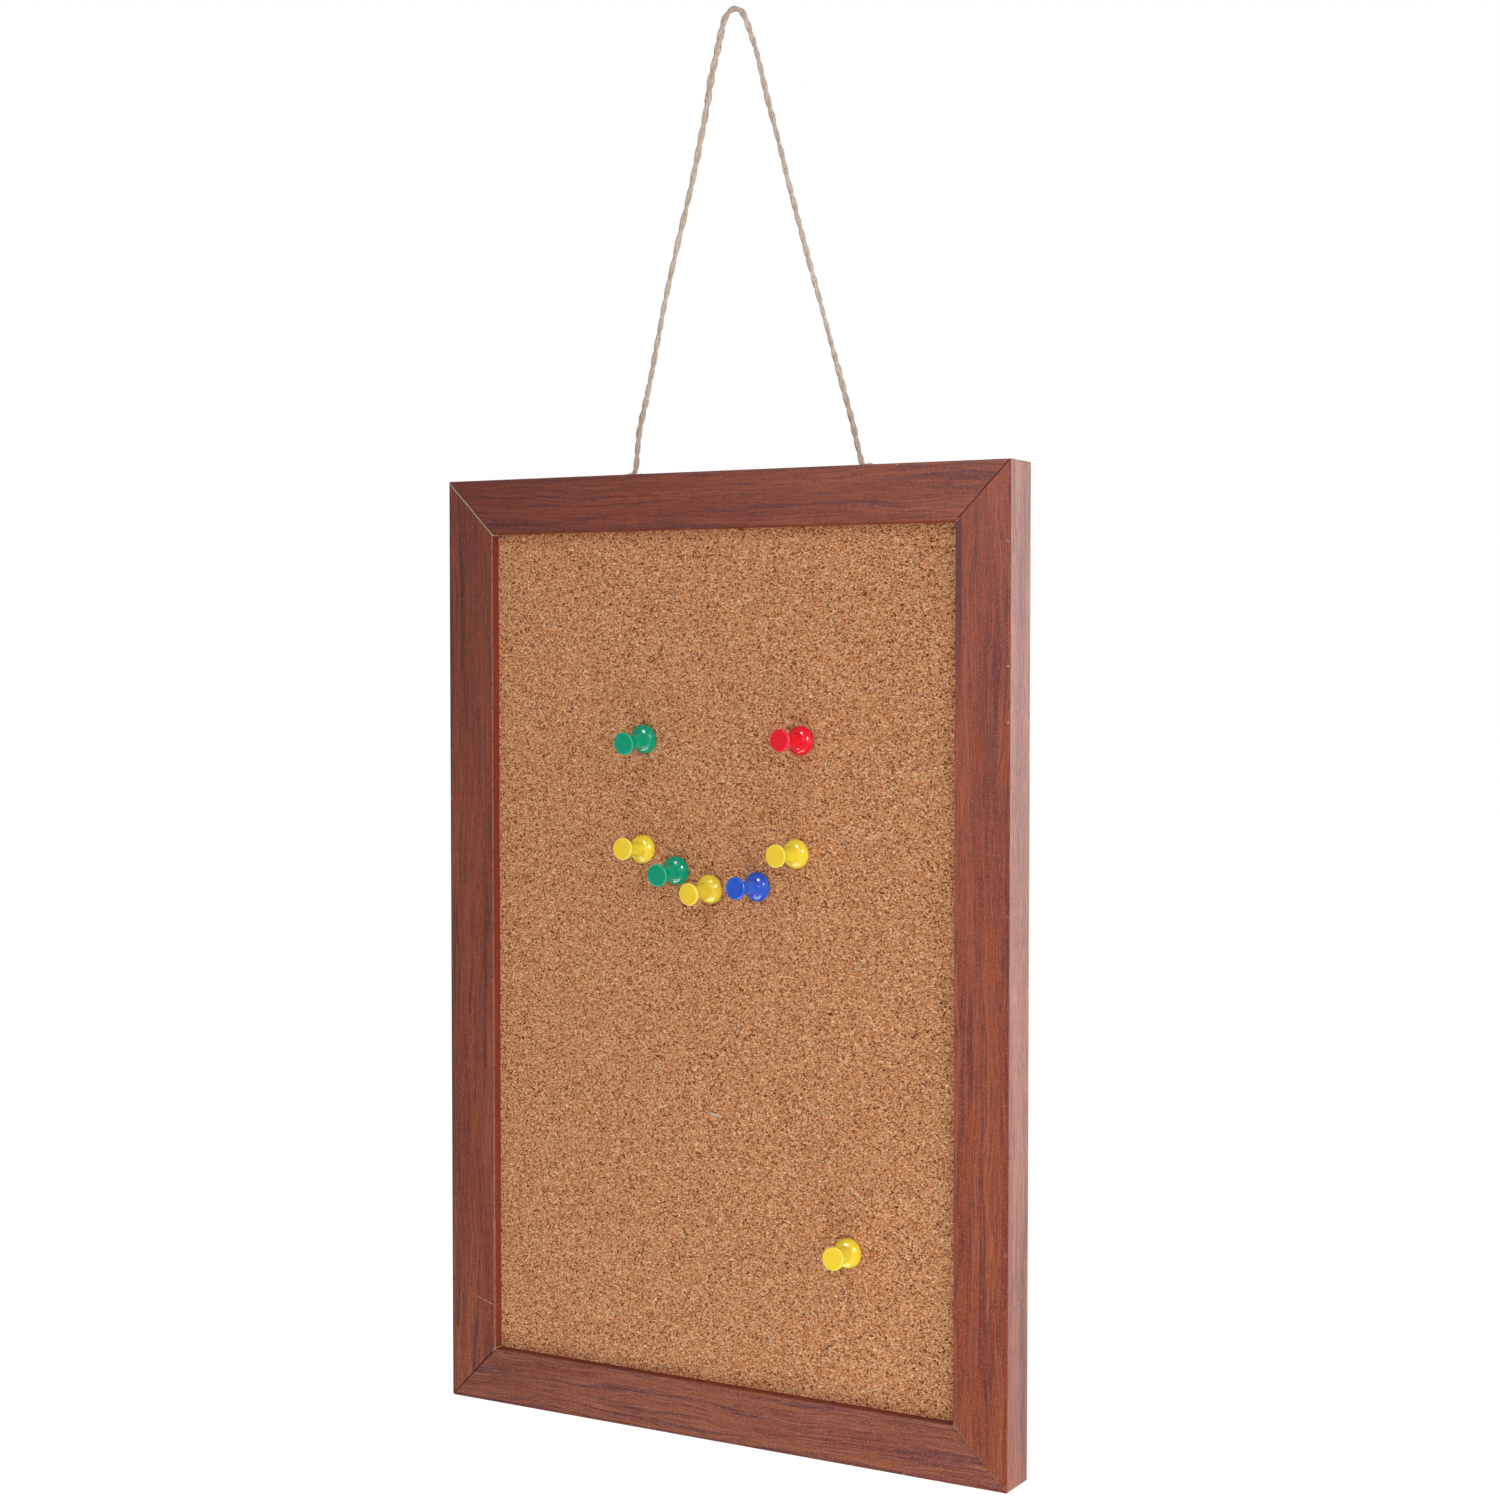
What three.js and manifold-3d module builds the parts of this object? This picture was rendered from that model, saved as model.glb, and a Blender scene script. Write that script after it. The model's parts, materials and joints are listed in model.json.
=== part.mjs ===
// A framed cork board with push pins, hung on a loop of jute twine from two screw eyes.
// Millimetres. +X is right, +Z is up and the front faces -Y.
// The origin is the point where a nail carries the twine, at the underside of the loop's top.

import * as THREE from "three";
import { mergeVertices } from "three/addons/utils/BufferGeometryUtils.js";
import Module from "manifold-3d";

const wasm = await Module();
wasm.setup();

// The board, and where it hangs below and in front of the nail
const BOARD_WIDTH = 200;
const BOARD_HEIGHT = 300;
const BOARD_THICKNESS = 15;
const NAIL_TO_TOP = 142;
const NAIL_TO_FRONT = 14;

// The frame's moulding
const RAIL_WIDTH = 17.4;
const LIP_DEPTH = 3.5;
const REBATE_WIDTH = 6;
const FRONT_EDGE_RADIUS = 0.6;
const LIP_EDGE_RADIUS = 0.4;
const BACK_EDGE_RADIUS = 2;
const MITRE_GAP = 0.3;
const EDGE_STEPS = 3;
const BACK_EDGE_STEPS = 5;

// The sheets in the rebate, from the front to the back
const PANEL_PLAY = 0.6;
const CORK_THICKNESS = 2.4;
const CORE_THICKNESS = 6.5;
const BACK_THICKNESS = 1;

// Framer's points, thin steel darts pushed into the rebate's wall behind the back panel
const POINT_THICKNESS = 0.4;
const POINT_WIDTH = 6;
const POINT_BITE = 4.5;
const POINT_SHOULDER = 1;
const POINT_TAIL = 5;
const POINT_PLAY = 0.15;
const LONG_RAIL_POINT_SHARES = [-0.27, 0, 0.27];
const SHORT_RAIL_POINT_SHARES = [-0.12, 0.12];

// V-nails, bent steel strips driven across each mitre from the back
const VNAIL_THICKNESS = 0.5;
const VNAIL_ARM = 3.2;
const VNAIL_SWEEP = 2;
const VNAIL_LENGTH = 7;
const VNAIL_SUNK = 0.4;
const VNAIL_TO_REBATE = 6;
const VNAIL_PLAY = 0.2;

// Screw eyes in the back of the top rail
const EYE_SPAN = 91;
const EYE_TO_REBATE = 2.9;
const EYE_STANDOFF = 6;
const EYE_RING_RADIUS = 3.2;
const EYE_WIRE_RADIUS = 0.8;
const EYE_NECK_RADIUS = 1.15;
const EYE_NECK_LENGTH = 1;
const EYE_SHANK_RADIUS = 0.95;
const EYE_SHANK_BITE = 10;
const EYE_POINT_LENGTH = 2.5;
const EYE_HOLE_PLAY = 0.2;
const EYE_WIRE_SIDES = 8;
const EYE_RING_STEPS = 28;
const EYE_SHANK_SIDES = 12;

// Push pins
const PIN_HEIGHT = 12;
const PIN_FLANGE_RADIUS = 4.5;
const PIN_FLANGE_RIM = 0.9;
const PIN_DOME_TOP = 2.7;
const PIN_COLLAR_RADIUS = 2.7;
const PIN_WAIST_RADIUS = 1.95;
const PIN_WAIST_HEIGHT = 7.2;
const PIN_CAP_RADIUS = 3.5;
const PIN_CAP_RIM = 1.1;
const PIN_CAP_EDGE_RADIUS = 0.35;
const PIN_SIDES = 20;
const PIN_CURVE_STEPS = 5;
const PIN_SEAT_GAP = 0.2;
const NEEDLE_RADIUS = 0.55;
const NEEDLE_REACH = 8;
const NEEDLE_POINT_LENGTH = 2.2;
const NEEDLE_GRIP = 5.8;
const NEEDLE_END_PLAY = 0.3;
const NEEDLE_BORE_PLAY = 0.15;
const NEEDLE_HOLE_PLAY = 0.2;
const NEEDLE_SIDES = 8;

// The twine and its hitches
const TWINE_RADIUS = 0.9;
const TWINE_SIDES = 8;
const TWINE_STEPS_PER_SPAN = 2;
const TWINE_FACE_GAP = 0.3;
const LEG_LEAN_DEGREES = 16.8;
const HITCH_WIRE_GAP = 0.3;
const HITCH_OWN_GAP = 0.5;
const HITCH_LEG_LENGTH = 8.2;
const HITCH_ROUND_DEGREES = 188;
const HITCH_ARC_STEPS = 12;
const BRIDGE_PULL = 1.7;
const BRIDGE_STEPS = 6;
const WINDING_START = 2.4;
const WINDING_START_DEGREES = 120;
const WINDING_PITCH = 2.35;
const WINDING_TURNS = 2;
const WINDING_STEPS = 20;
const HITCH_TAIL = 2;

// One overrun for every cut, and the distance within which two vertices are one
const CUT_OVERRUN = 1;
const WELD_DISTANCE = 1e-4;

// Values worked out from the sizes above
const THICK_WIDTH = RAIL_WIDTH - REBATE_WIDTH;
const EYE_DROP = THICK_WIDTH - EYE_TO_REBATE;
const VNAIL_FROM_EDGES = THICK_WIDTH - VNAIL_TO_REBATE;
const CORE_FRONT = LIP_DEPTH + CORK_THICKNESS;
const BACK_PANEL_FRONT = CORE_FRONT + CORE_THICKNESS;
const STACK_BACK = BACK_PANEL_FRONT + BACK_THICKNESS;
const PANEL_WIDTH = BOARD_WIDTH - 2 * (THICK_WIDTH + PANEL_PLAY);
const PANEL_HEIGHT = BOARD_HEIGHT - 2 * (THICK_WIDTH + PANEL_PLAY);
const OPENING_HALF_WIDTH = BOARD_WIDTH / 2 - RAIL_WIDTH;
const OPENING_HALF_HEIGHT = BOARD_HEIGHT / 2 - RAIL_WIDTH;

// Pins: place in shares of half the visible opening from its centre, lean of the axis, and colour
const PINS = [
  { placeShares: [-0.317, 0.51], rightDegrees: -1.5, upDegrees: -5.8, colour: "green" },
  { placeShares: [0.363, 0.512], rightDegrees: -4.6, upDegrees: 2, colour: "red" },
  { placeShares: [-0.324, 0.248], rightDegrees: -1.4, upDegrees: 3.8, colour: "yellow" },
  { placeShares: [-0.176, 0.202], rightDegrees: 0.6, upDegrees: -3.7, colour: "green" },
  { placeShares: [-0.024, 0.163], rightDegrees: -4.3, upDegrees: -4.5, colour: "yellow" },
  { placeShares: [0.182, 0.173], rightDegrees: -6.4, upDegrees: 1.6, colour: "blue" },
  { placeShares: [0.344, 0.253], rightDegrees: -4, upDegrees: 0.4, colour: "yellow" },
  { placeShares: [0.559, -0.652], rightDegrees: 5.6, upDegrees: 3.6, colour: "yellow" },
];

// The twine's centreline between the hitches, up the left leg, over the nail and down the right leg
const TWINE_ROUTE = [
  [-38.9, 5.9, -126.4],
  [-36.1, 5.5, -117],
  [-31.9, 4.7, -101.5],
  [-27.9, 4, -86],
  [-24.3, 3.5, -73.8],
  [-20.5, 2.9, -61.7],
  [-16.7, 2.3, -49.6],
  [-13.4, 1.8, -37.6],
  [-10.4, 1.2, -25.7],
  [-9.2, 1, -19.7],
  [-6.5, 0.5, -10.8],
  [-4.6, 0.2, -4.4],
  [-3.6, 0.1, -1.7],
  [-1.9, 0, 0.3],
  [0, 0, 0.9],
  [1.6, 0, 0.4],
  [3, 0.1, -1],
  [4.9, 0.3, -5.5],
  [7.3, 0.6, -12.5],
  [9.6, 1, -21.8],
  [11.1, 1.3, -28],
  [14.4, 1.9, -40.4],
  [17.5, 2.5, -52.8],
  [20.8, 3.1, -65.1],
  [24.6, 3.7, -79],
  [28.6, 4.3, -93],
  [32.5, 5, -107],
  [36.3, 5.6, -120.6],
  [38, 5.9, -126.7],
];

const SIDES = [
  { name: "left", hand: -1 },
  { name: "right", hand: 1 },
];

const MATERIALS = {
  foil: new THREE.MeshStandardMaterial({ color: 0x8c5246, roughness: 0.45, metalness: 0 }),
  cork: new THREE.MeshStandardMaterial({ color: 0xc48c5f, roughness: 0.95, metalness: 0 }),
  softboard: new THREE.MeshStandardMaterial({ color: 0xb9a98c, roughness: 0.95, metalness: 0 }),
  hardboard: new THREE.MeshStandardMaterial({ color: 0x7a5a3e, roughness: 0.8, metalness: 0 }),
  steel: new THREE.MeshStandardMaterial({ color: 0xb8babd, roughness: 0.35, metalness: 1 }),
  twine: new THREE.MeshStandardMaterial({ color: 0xbea087, roughness: 0.95, metalness: 0 }),
  green: new THREE.MeshStandardMaterial({ color: 0x12a078, roughness: 0.18, metalness: 0 }),
  red: new THREE.MeshStandardMaterial({ color: 0xe61e2d, roughness: 0.18, metalness: 0 }),
  yellow: new THREE.MeshStandardMaterial({ color: 0xfcda3c, roughness: 0.18, metalness: 0 }),
  blue: new THREE.MeshStandardMaterial({ color: 0x2355cd, roughness: 0.18, metalness: 0 }),
};

// A closed geometry as a solid that can be cut and joined
function toSolid(geometry) {
  const bare = new THREE.BufferGeometry();
  bare.setAttribute("position", geometry.getAttribute("position"));
  bare.setIndex(geometry.index);
  const merged = mergeVertices(bare, WELD_DISTANCE);
  const vertProperties = merged.attributes.position.array;
  const triVerts = new Uint32Array(merged.index.array);
  return new wasm.Manifold(new wasm.Mesh({ numProp: 3, vertProperties, triVerts }));
}

function toGeometry(solid) {
  const made = solid.getMesh();
  const geometry = new THREE.BufferGeometry();
  geometry.setAttribute("position", new THREE.BufferAttribute(made.vertProperties, 3));
  geometry.setIndex(new THREE.BufferAttribute(made.triVerts, 1));
  geometry.computeVertexNormals();
  return geometry;
}

function cut(geometry, cutters) {
  let solid = toSolid(geometry);
  for (const cutter of cutters) {
    solid = solid.subtract(toSolid(cutter));
  }
  return toGeometry(solid);
}

function join(first, second) {
  return toGeometry(toSolid(first).add(toSolid(second)));
}

function piece(name, geometry, material) {
  const mesh = new THREE.Mesh(geometry, material);
  mesh.name = name;
  return mesh;
}

// A box between two depths behind the board's front
function slab(width, height, front, back) {
  const box = new THREE.BoxGeometry(width, back - front, height);
  box.translate(0, (front + back) / 2, 0);
  return box;
}

// An outline in X and Z, made solid between two depths
function plate(shape, front, back) {
  const geometry = new THREE.ExtrudeGeometry(shape, { depth: back - front, bevelEnabled: false });
  geometry.rotateX(Math.PI / 2);
  geometry.translate(0, back, 0);
  return geometry;
}

function turned(path, steps, sides) {
  return new THREE.LatheGeometry(path.getPoints(steps), sides);
}

// The moulding's section: depth behind the front face, and distance in from the outer edge as minus height
function mouldingSection() {
  const front = FRONT_EDGE_RADIUS;
  const lip = LIP_EDGE_RADIUS;
  const back = BACK_EDGE_RADIUS;
  const right = Math.PI / 2;
  const section = new THREE.Path();
  section.moveTo(LIP_DEPTH, -RAIL_WIDTH);
  section.lineTo(LIP_DEPTH, -THICK_WIDTH);
  section.lineTo(BOARD_THICKNESS, -THICK_WIDTH);
  section.absarc(BOARD_THICKNESS - back, -back, back, 0, right);
  section.absarc(front, -front, front, right, 2 * right);
  section.absarc(lip, -RAIL_WIDTH + lip, lip, 2 * right, 3 * right);
  return section;
}

// The section's points, with more steps on the large back edge
function mouldingShape() {
  const points = [];
  for (const curve of mouldingSection().curves) {
    const isArc = curve.isEllipseCurve;
    const steps = isArc && curve.xRadius === BACK_EDGE_RADIUS ? BACK_EDGE_STEPS : EDGE_STEPS;
    points.push(...curve.getPoints(isArc ? steps : 1).slice(1));
  }
  return new THREE.Shape(points);
}

// A rail along X with its outer edge at height zero, its ends drawn in at 45 degrees
function mitredRail(outerLength) {
  const length = outerLength - Math.SQRT2 * MITRE_GAP;
  const rail = new THREE.ExtrudeGeometry(mouldingShape(), { depth: length, bevelEnabled: false });
  rail.translate(0, 0, -length / 2);
  const axes = new THREE.Matrix4().makeBasis(
    new THREE.Vector3(0, 1, 0),
    new THREE.Vector3(0, 0, 1),
    new THREE.Vector3(1, 0, 0),
  );
  rail.applyMatrix4(axes);
  const place = rail.getAttribute("position");
  for (let i = 0; i < place.count; i += 1) {
    const inFromEdge = -place.getZ(i);
    const end = Math.sign(place.getX(i));
    place.setX(i, place.getX(i) - end * inFromEdge);
  }
  return rail;
}

// A dart with its point in the rebate's wall and its tail over the back panel
function framersPoint() {
  const half = POINT_WIDTH / 2;
  const dart = new THREE.Shape();
  dart.moveTo(-half, -THICK_WIDTH - POINT_TAIL);
  dart.lineTo(half, -THICK_WIDTH - POINT_TAIL);
  dart.lineTo(half, -THICK_WIDTH + POINT_SHOULDER);
  dart.lineTo(0, -THICK_WIDTH + POINT_BITE);
  dart.lineTo(-half, -THICK_WIDTH + POINT_SHOULDER);
  dart.closePath();
  const front = STACK_BACK + POINT_PLAY;
  return plate(dart, front, front + POINT_THICKNESS);
}

function framersPointSlot(along) {
  const depth = POINT_BITE + 2 * POINT_PLAY;
  const height = depth + CUT_OVERRUN;
  const back = STACK_BACK + POINT_THICKNESS + 2 * POINT_PLAY;
  const slot = slab(POINT_WIDTH + 2 * POINT_PLAY, height, STACK_BACK, back);
  slot.translate(along, 0, -THICK_WIDTH + depth - height / 2);
  return slot;
}

// A V-shaped strip seen from the back, its arms reaching across the mitre; grown by the play for its slot
function vnailShape(grown) {
  const arm = new THREE.Vector2(VNAIL_ARM, -VNAIL_SWEEP);
  const armLength = arm.length();
  const along = arm.clone().normalize();
  const half = VNAIL_THICKNESS / 2 + grown;
  const across = new THREE.Vector2(-along.y, along.x).multiplyScalar(half);
  const tip = arm.clone().addScaledVector(along, grown);
  const outer = tip.clone().add(across);
  const inner = tip.clone().sub(across);
  const crown = (half * armLength) / VNAIL_ARM;
  const strip = new THREE.Shape();
  strip.moveTo(0, -crown);
  strip.lineTo(inner.x, inner.y);
  strip.lineTo(outer.x, outer.y);
  strip.lineTo(0, crown);
  strip.lineTo(-outer.x, outer.y);
  strip.lineTo(-inner.x, inner.y);
  strip.closePath();
  return strip;
}

// A V-nail or its slot at one end of a rail, pointing at the frame's outer corner
function vnailAt(outerLength, end, grown, front, back) {
  const strip = plate(vnailShape(grown), front, back);
  strip.rotateY((end * Math.PI) / 4);
  strip.translate(end * (outerLength / 2 - VNAIL_FROM_EDGES), 0, -VNAIL_FROM_EDGES);
  return strip;
}

function vnail(outerLength) {
  const back = BOARD_THICKNESS - VNAIL_SUNK;
  return vnailAt(outerLength, 1, 0, back - VNAIL_LENGTH, back);
}

function vnailSlot(outerLength, end) {
  const front = BOARD_THICKNESS - VNAIL_SUNK - VNAIL_LENGTH - VNAIL_PLAY;
  return vnailAt(outerLength, end, VNAIL_PLAY, front, BOARD_THICKNESS + CUT_OVERRUN);
}

// A screw eye with its ring's centre at the origin and its shank pointing to -Y
function screwEye() {
  const ring = new THREE.TorusGeometry(
    EYE_RING_RADIUS,
    EYE_WIRE_RADIUS,
    EYE_WIRE_SIDES,
    EYE_RING_STEPS,
  );
  ring.rotateY(Math.PI / 2);
  const tip = -EYE_STANDOFF - EYE_SHANK_BITE;
  const neckFoot = -EYE_RING_RADIUS - EYE_WIRE_RADIUS - EYE_NECK_LENGTH;
  const outline = new THREE.Path();
  outline.moveTo(0, tip);
  outline.lineTo(EYE_SHANK_RADIUS, tip + EYE_POINT_LENGTH);
  outline.lineTo(EYE_SHANK_RADIUS, neckFoot);
  outline.lineTo(EYE_NECK_RADIUS, neckFoot + EYE_NECK_LENGTH / 2);
  outline.lineTo(EYE_WIRE_RADIUS, -EYE_RING_RADIUS);
  outline.lineTo(0, -EYE_RING_RADIUS);
  return join(ring, turned(outline, 1, EYE_SHANK_SIDES));
}

function screwEyeHole(along) {
  const radius = EYE_SHANK_RADIUS + EYE_HOLE_PLAY;
  const depth = EYE_SHANK_BITE + EYE_HOLE_PLAY;
  const length = depth + CUT_OVERRUN;
  const hole = new THREE.CylinderGeometry(radius, radius, length, EYE_SHANK_SIDES);
  hole.translate(along, BOARD_THICKNESS - depth + length / 2, -EYE_DROP);
  return hole;
}

// A pin's body: a domed flange, a waisted stem and a flat cap, with a blind bore for the needle
function pinBody() {
  const bore = NEEDLE_RADIUS + NEEDLE_BORE_PLAY;
  const boreEnd = NEEDLE_GRIP + NEEDLE_END_PLAY;
  const capFoot = PIN_HEIGHT - PIN_CAP_RIM;
  const edge = PIN_CAP_EDGE_RADIUS;
  const outline = new THREE.Path();
  outline.moveTo(0, boreEnd);
  outline.lineTo(bore, boreEnd);
  outline.lineTo(bore, 0);
  outline.lineTo(PIN_FLANGE_RADIUS - edge, 0);
  outline.lineTo(PIN_FLANGE_RADIUS, edge);
  outline.lineTo(PIN_FLANGE_RADIUS, PIN_FLANGE_RIM);
  outline.quadraticCurveTo(
    PIN_FLANGE_RADIUS - edge,
    PIN_DOME_TOP - edge,
    PIN_COLLAR_RADIUS,
    PIN_DOME_TOP,
  );
  outline.quadraticCurveTo(
    PIN_WAIST_RADIUS,
    (PIN_DOME_TOP + PIN_WAIST_HEIGHT) / 2,
    PIN_WAIST_RADIUS,
    PIN_WAIST_HEIGHT,
  );
  outline.quadraticCurveTo(
    PIN_WAIST_RADIUS,
    (PIN_WAIST_HEIGHT + capFoot) / 2,
    PIN_CAP_RADIUS - edge,
    capFoot,
  );
  outline.lineTo(PIN_CAP_RADIUS, capFoot + edge);
  outline.lineTo(PIN_CAP_RADIUS, PIN_HEIGHT - edge);
  outline.lineTo(PIN_CAP_RADIUS - edge, PIN_HEIGHT);
  outline.lineTo(0, PIN_HEIGHT);
  return turned(outline, PIN_CURVE_STEPS, PIN_SIDES);
}

function pinNeedle() {
  const outline = new THREE.Path();
  outline.moveTo(0, -NEEDLE_REACH);
  outline.lineTo(NEEDLE_RADIUS, -NEEDLE_REACH + NEEDLE_POINT_LENGTH);
  outline.lineTo(NEEDLE_RADIUS, NEEDLE_GRIP);
  outline.lineTo(0, NEEDLE_GRIP);
  return turned(outline, 1, NEEDLE_SIDES);
}

// Where a pin stands: its flange's rim all but touches the cork, and its own +Y axis points outwards
function pinStand(pin) {
  const right = Math.sin(THREE.MathUtils.degToRad(pin.rightDegrees));
  const up = Math.sin(THREE.MathUtils.degToRad(pin.upDegrees));
  const tilt = Math.hypot(right, up);
  const axis = new THREE.Vector3(right, -Math.sqrt(1 - tilt * tilt), up);
  const place = new THREE.Vector3(
    pin.placeShares[0] * OPENING_HALF_WIDTH,
    LIP_DEPTH,
    pin.placeShares[1] * OPENING_HALF_HEIGHT,
  );
  place.addScaledVector(axis, PIN_FLANGE_RADIUS * tilt + PIN_SEAT_GAP);
  const turn = new THREE.Quaternion().setFromUnitVectors(new THREE.Vector3(0, 1, 0), axis);
  return { place, turn };
}

// The hole that a pin's needle has made, through the cork and on into the core
function needleHole(pin) {
  const radius = NEEDLE_RADIUS + NEEDLE_HOLE_PLAY;
  const length = NEEDLE_REACH + NEEDLE_END_PLAY + CUT_OVERRUN;
  const hole = new THREE.CylinderGeometry(radius, radius, length, NEEDLE_SIDES);
  hole.translate(0, CUT_OVERRUN - length / 2, 0);
  const stand = pinStand(pin);
  hole.applyQuaternion(stand.turn);
  hole.translate(stand.place.x, stand.place.y, stand.place.z);
  return hole;
}

// The centre of a screw eye's ring, seen from the nail
function eyeCentre(hand) {
  return new THREE.Vector3(
    (hand * EYE_SPAN) / 2,
    BOARD_THICKNESS + EYE_STANDOFF - NAIL_TO_FRONT,
    -NAIL_TO_TOP - EYE_DROP,
  );
}

// A point of a hitch from its distances inwards, up the loop's leaning plane and back from that plane
function hitchPoint(hand, inwards, up, backwards) {
  const eye = eyeCentre(hand);
  const lean = Math.atan2(eye.y, TWINE_RADIUS - eye.z);
  return new THREE.Vector3(
    eye.x - hand * inwards,
    eye.y - up * Math.sin(lean) + backwards * Math.cos(lean),
    eye.z + up * Math.cos(lean) + backwards * Math.sin(lean),
  );
}

const LEG_LEAN = THREE.MathUtils.degToRad(LEG_LEAN_DEGREES);
const HITCH_RADIUS = EYE_WIRE_RADIUS + HITCH_WIRE_GAP + TWINE_RADIUS;
const WINDING_RADIUS = 2 * TWINE_RADIUS + HITCH_OWN_GAP;

// A point beside the leg, which leaves the hitch's round straight: how far up the leg, and how far
// inwards and backwards from it
function besideLeg(hand, along, inwards, backwards) {
  const sine = Math.sin(LEG_LEAN);
  const cosine = Math.cos(LEG_LEAN);
  return hitchPoint(
    hand,
    (HITCH_RADIUS + inwards) * cosine + along * sine,
    EYE_RING_RADIUS - (HITCH_RADIUS + inwards) * sine + along * cosine,
    backwards,
  );
}

// The twine's round under the top of the ring, at an angle from the side where the leg leaves it
function hitchRound(hand, share) {
  const angle = -LEG_LEAN - share * THREE.MathUtils.degToRad(HITCH_ROUND_DEGREES);
  return hitchPoint(
    hand,
    HITCH_RADIUS * Math.cos(angle),
    EYE_RING_RADIUS + HITCH_RADIUS * Math.sin(angle),
    0,
  );
}

// The winding round the leg, which climbs by its pitch with each turn
function winding(hand, turns) {
  const angle = THREE.MathUtils.degToRad(WINDING_START_DEGREES) - turns * 2 * Math.PI;
  return besideLeg(
    hand,
    WINDING_START + turns * WINDING_PITCH,
    WINDING_RADIUS * Math.cos(angle),
    WINDING_RADIUS * Math.sin(angle),
  );
}

// The direction from one point to another
function heading(from, to) {
  return to.clone().sub(from).normalize();
}

// A hitch's centreline: down its leg, round the ring's wire, over to the leg and twice round it
function hitchRoute(hand) {
  const points = [];
  const legSteps = Math.round(HITCH_LEG_LENGTH / TWINE_RADIUS);
  for (let i = 0; i < legSteps; i += 1) {
    points.push(besideLeg(hand, HITCH_LEG_LENGTH * (1 - i / legSteps), 0, 0));
  }
  for (let i = 0; i <= HITCH_ARC_STEPS; i += 1) {
    points.push(hitchRound(hand, i / HITCH_ARC_STEPS));
  }
  const roundEnd = points[points.length - 1];
  const roundHeading = heading(points[points.length - 2], roundEnd);
  const windingFoot = winding(hand, 0);
  const windingHeading = heading(windingFoot, winding(hand, 1 / WINDING_STEPS));
  const bridge = new THREE.CubicBezierCurve3(
    roundEnd,
    roundEnd.clone().addScaledVector(roundHeading, BRIDGE_PULL),
    windingFoot.clone().addScaledVector(windingHeading, -BRIDGE_PULL),
    windingFoot,
  );
  points.push(...bridge.getSpacedPoints(BRIDGE_STEPS).slice(1, -1));
  const windingCount = WINDING_TURNS * WINDING_STEPS;
  for (let i = 0; i <= windingCount; i += 1) {
    points.push(winding(hand, i / WINDING_STEPS));
  }
  const windingEnd = points[points.length - 1];
  const tailHeading = heading(points[points.length - 2], windingEnd);
  points.push(windingEnd.clone().addScaledVector(tailHeading, HITCH_TAIL / 2));
  points.push(windingEnd.clone().addScaledVector(tailHeading, HITCH_TAIL));
  return points;
}

// The least gap of a wound tube to itself, leaving out neighbours within half a turn of the winding
function leastOwnGap(points) {
  const travelled = [0];
  for (let i = 1; i < points.length; i += 1) {
    travelled.push(travelled[i - 1] + points[i].distanceTo(points[i - 1]));
  }
  let least = Infinity;
  for (let i = 0; i < points.length; i += 1) {
    for (let j = i + 1; j < points.length; j += 1) {
      if (travelled[j] - travelled[i] > Math.PI * WINDING_RADIUS) {
        least = Math.min(least, points[i].distanceTo(points[j]) - 2 * TWINE_RADIUS);
      }
    }
  }
  return least;
}

// A closed tube of rings along a list of points, each ring carried on from the last without twist
function woundTube(points) {
  const places = [];
  const faces = [];
  const last = points.length - 1;
  let side = new THREE.Vector3(0, 1, 0);
  points.forEach((point, i) => {
    const onwards = heading(points[Math.max(i - 1, 0)], points[Math.min(i + 1, last)]);
    side = side.clone().addScaledVector(onwards, -side.dot(onwards)).normalize();
    const other = onwards.clone().cross(side);
    for (let k = 0; k < TWINE_SIDES; k += 1) {
      const angle = (2 * Math.PI * k) / TWINE_SIDES;
      const corner = point.clone();
      corner.addScaledVector(side, TWINE_RADIUS * Math.cos(angle));
      corner.addScaledVector(other, TWINE_RADIUS * Math.sin(angle));
      places.push(corner.x, corner.y, corner.z);
    }
  });
  for (let i = 0; i < last; i += 1) {
    for (let k = 0; k < TWINE_SIDES; k += 1) {
      const a = i * TWINE_SIDES + k;
      const b = i * TWINE_SIDES + ((k + 1) % TWINE_SIDES);
      faces.push(a, b, b + TWINE_SIDES, a, b + TWINE_SIDES, a + TWINE_SIDES);
    }
  }
  const end = last * TWINE_SIDES;
  for (let k = 1; k < TWINE_SIDES - 1; k += 1) {
    faces.push(0, k + 1, k, end, end + k, end + k + 1);
  }
  const geometry = new THREE.BufferGeometry();
  geometry.setAttribute("position", new THREE.Float32BufferAttribute(places, 3));
  geometry.setIndex(faces);
  geometry.computeVertexNormals();
  return geometry;
}

// The free stretch: each end straight for one diameter above its hitch, face to face with it
function hangingTwine() {
  const start = HITCH_LEG_LENGTH + TWINE_FACE_GAP;
  const straight = start + 2 * TWINE_RADIUS;
  const route = new THREE.CatmullRomCurve3([
    besideLeg(-1, start, 0, 0),
    besideLeg(-1, straight, 0, 0),
    ...TWINE_ROUTE.map((point) => new THREE.Vector3(...point)),
    besideLeg(1, straight, 0, 0),
    besideLeg(1, start, 0, 0),
  ]);
  // The steps follow the route's own points, which lie closer together over the nail
  route.getUtoTmapping = (share) => share;
  const corners = [];
  for (let k = 0; k < TWINE_SIDES; k += 1) {
    const angle = (2 * Math.PI * k) / TWINE_SIDES;
    const corner = new THREE.Vector2(Math.cos(angle), Math.sin(angle));
    corners.push(corner.multiplyScalar(TWINE_RADIUS));
  }
  return new THREE.ExtrudeGeometry(new THREE.Shape(corners), {
    steps: TWINE_STEPS_PER_SPAN * (route.points.length - 1),
    extrudePath: route,
    bevelEnabled: false,
  });
}

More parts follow.
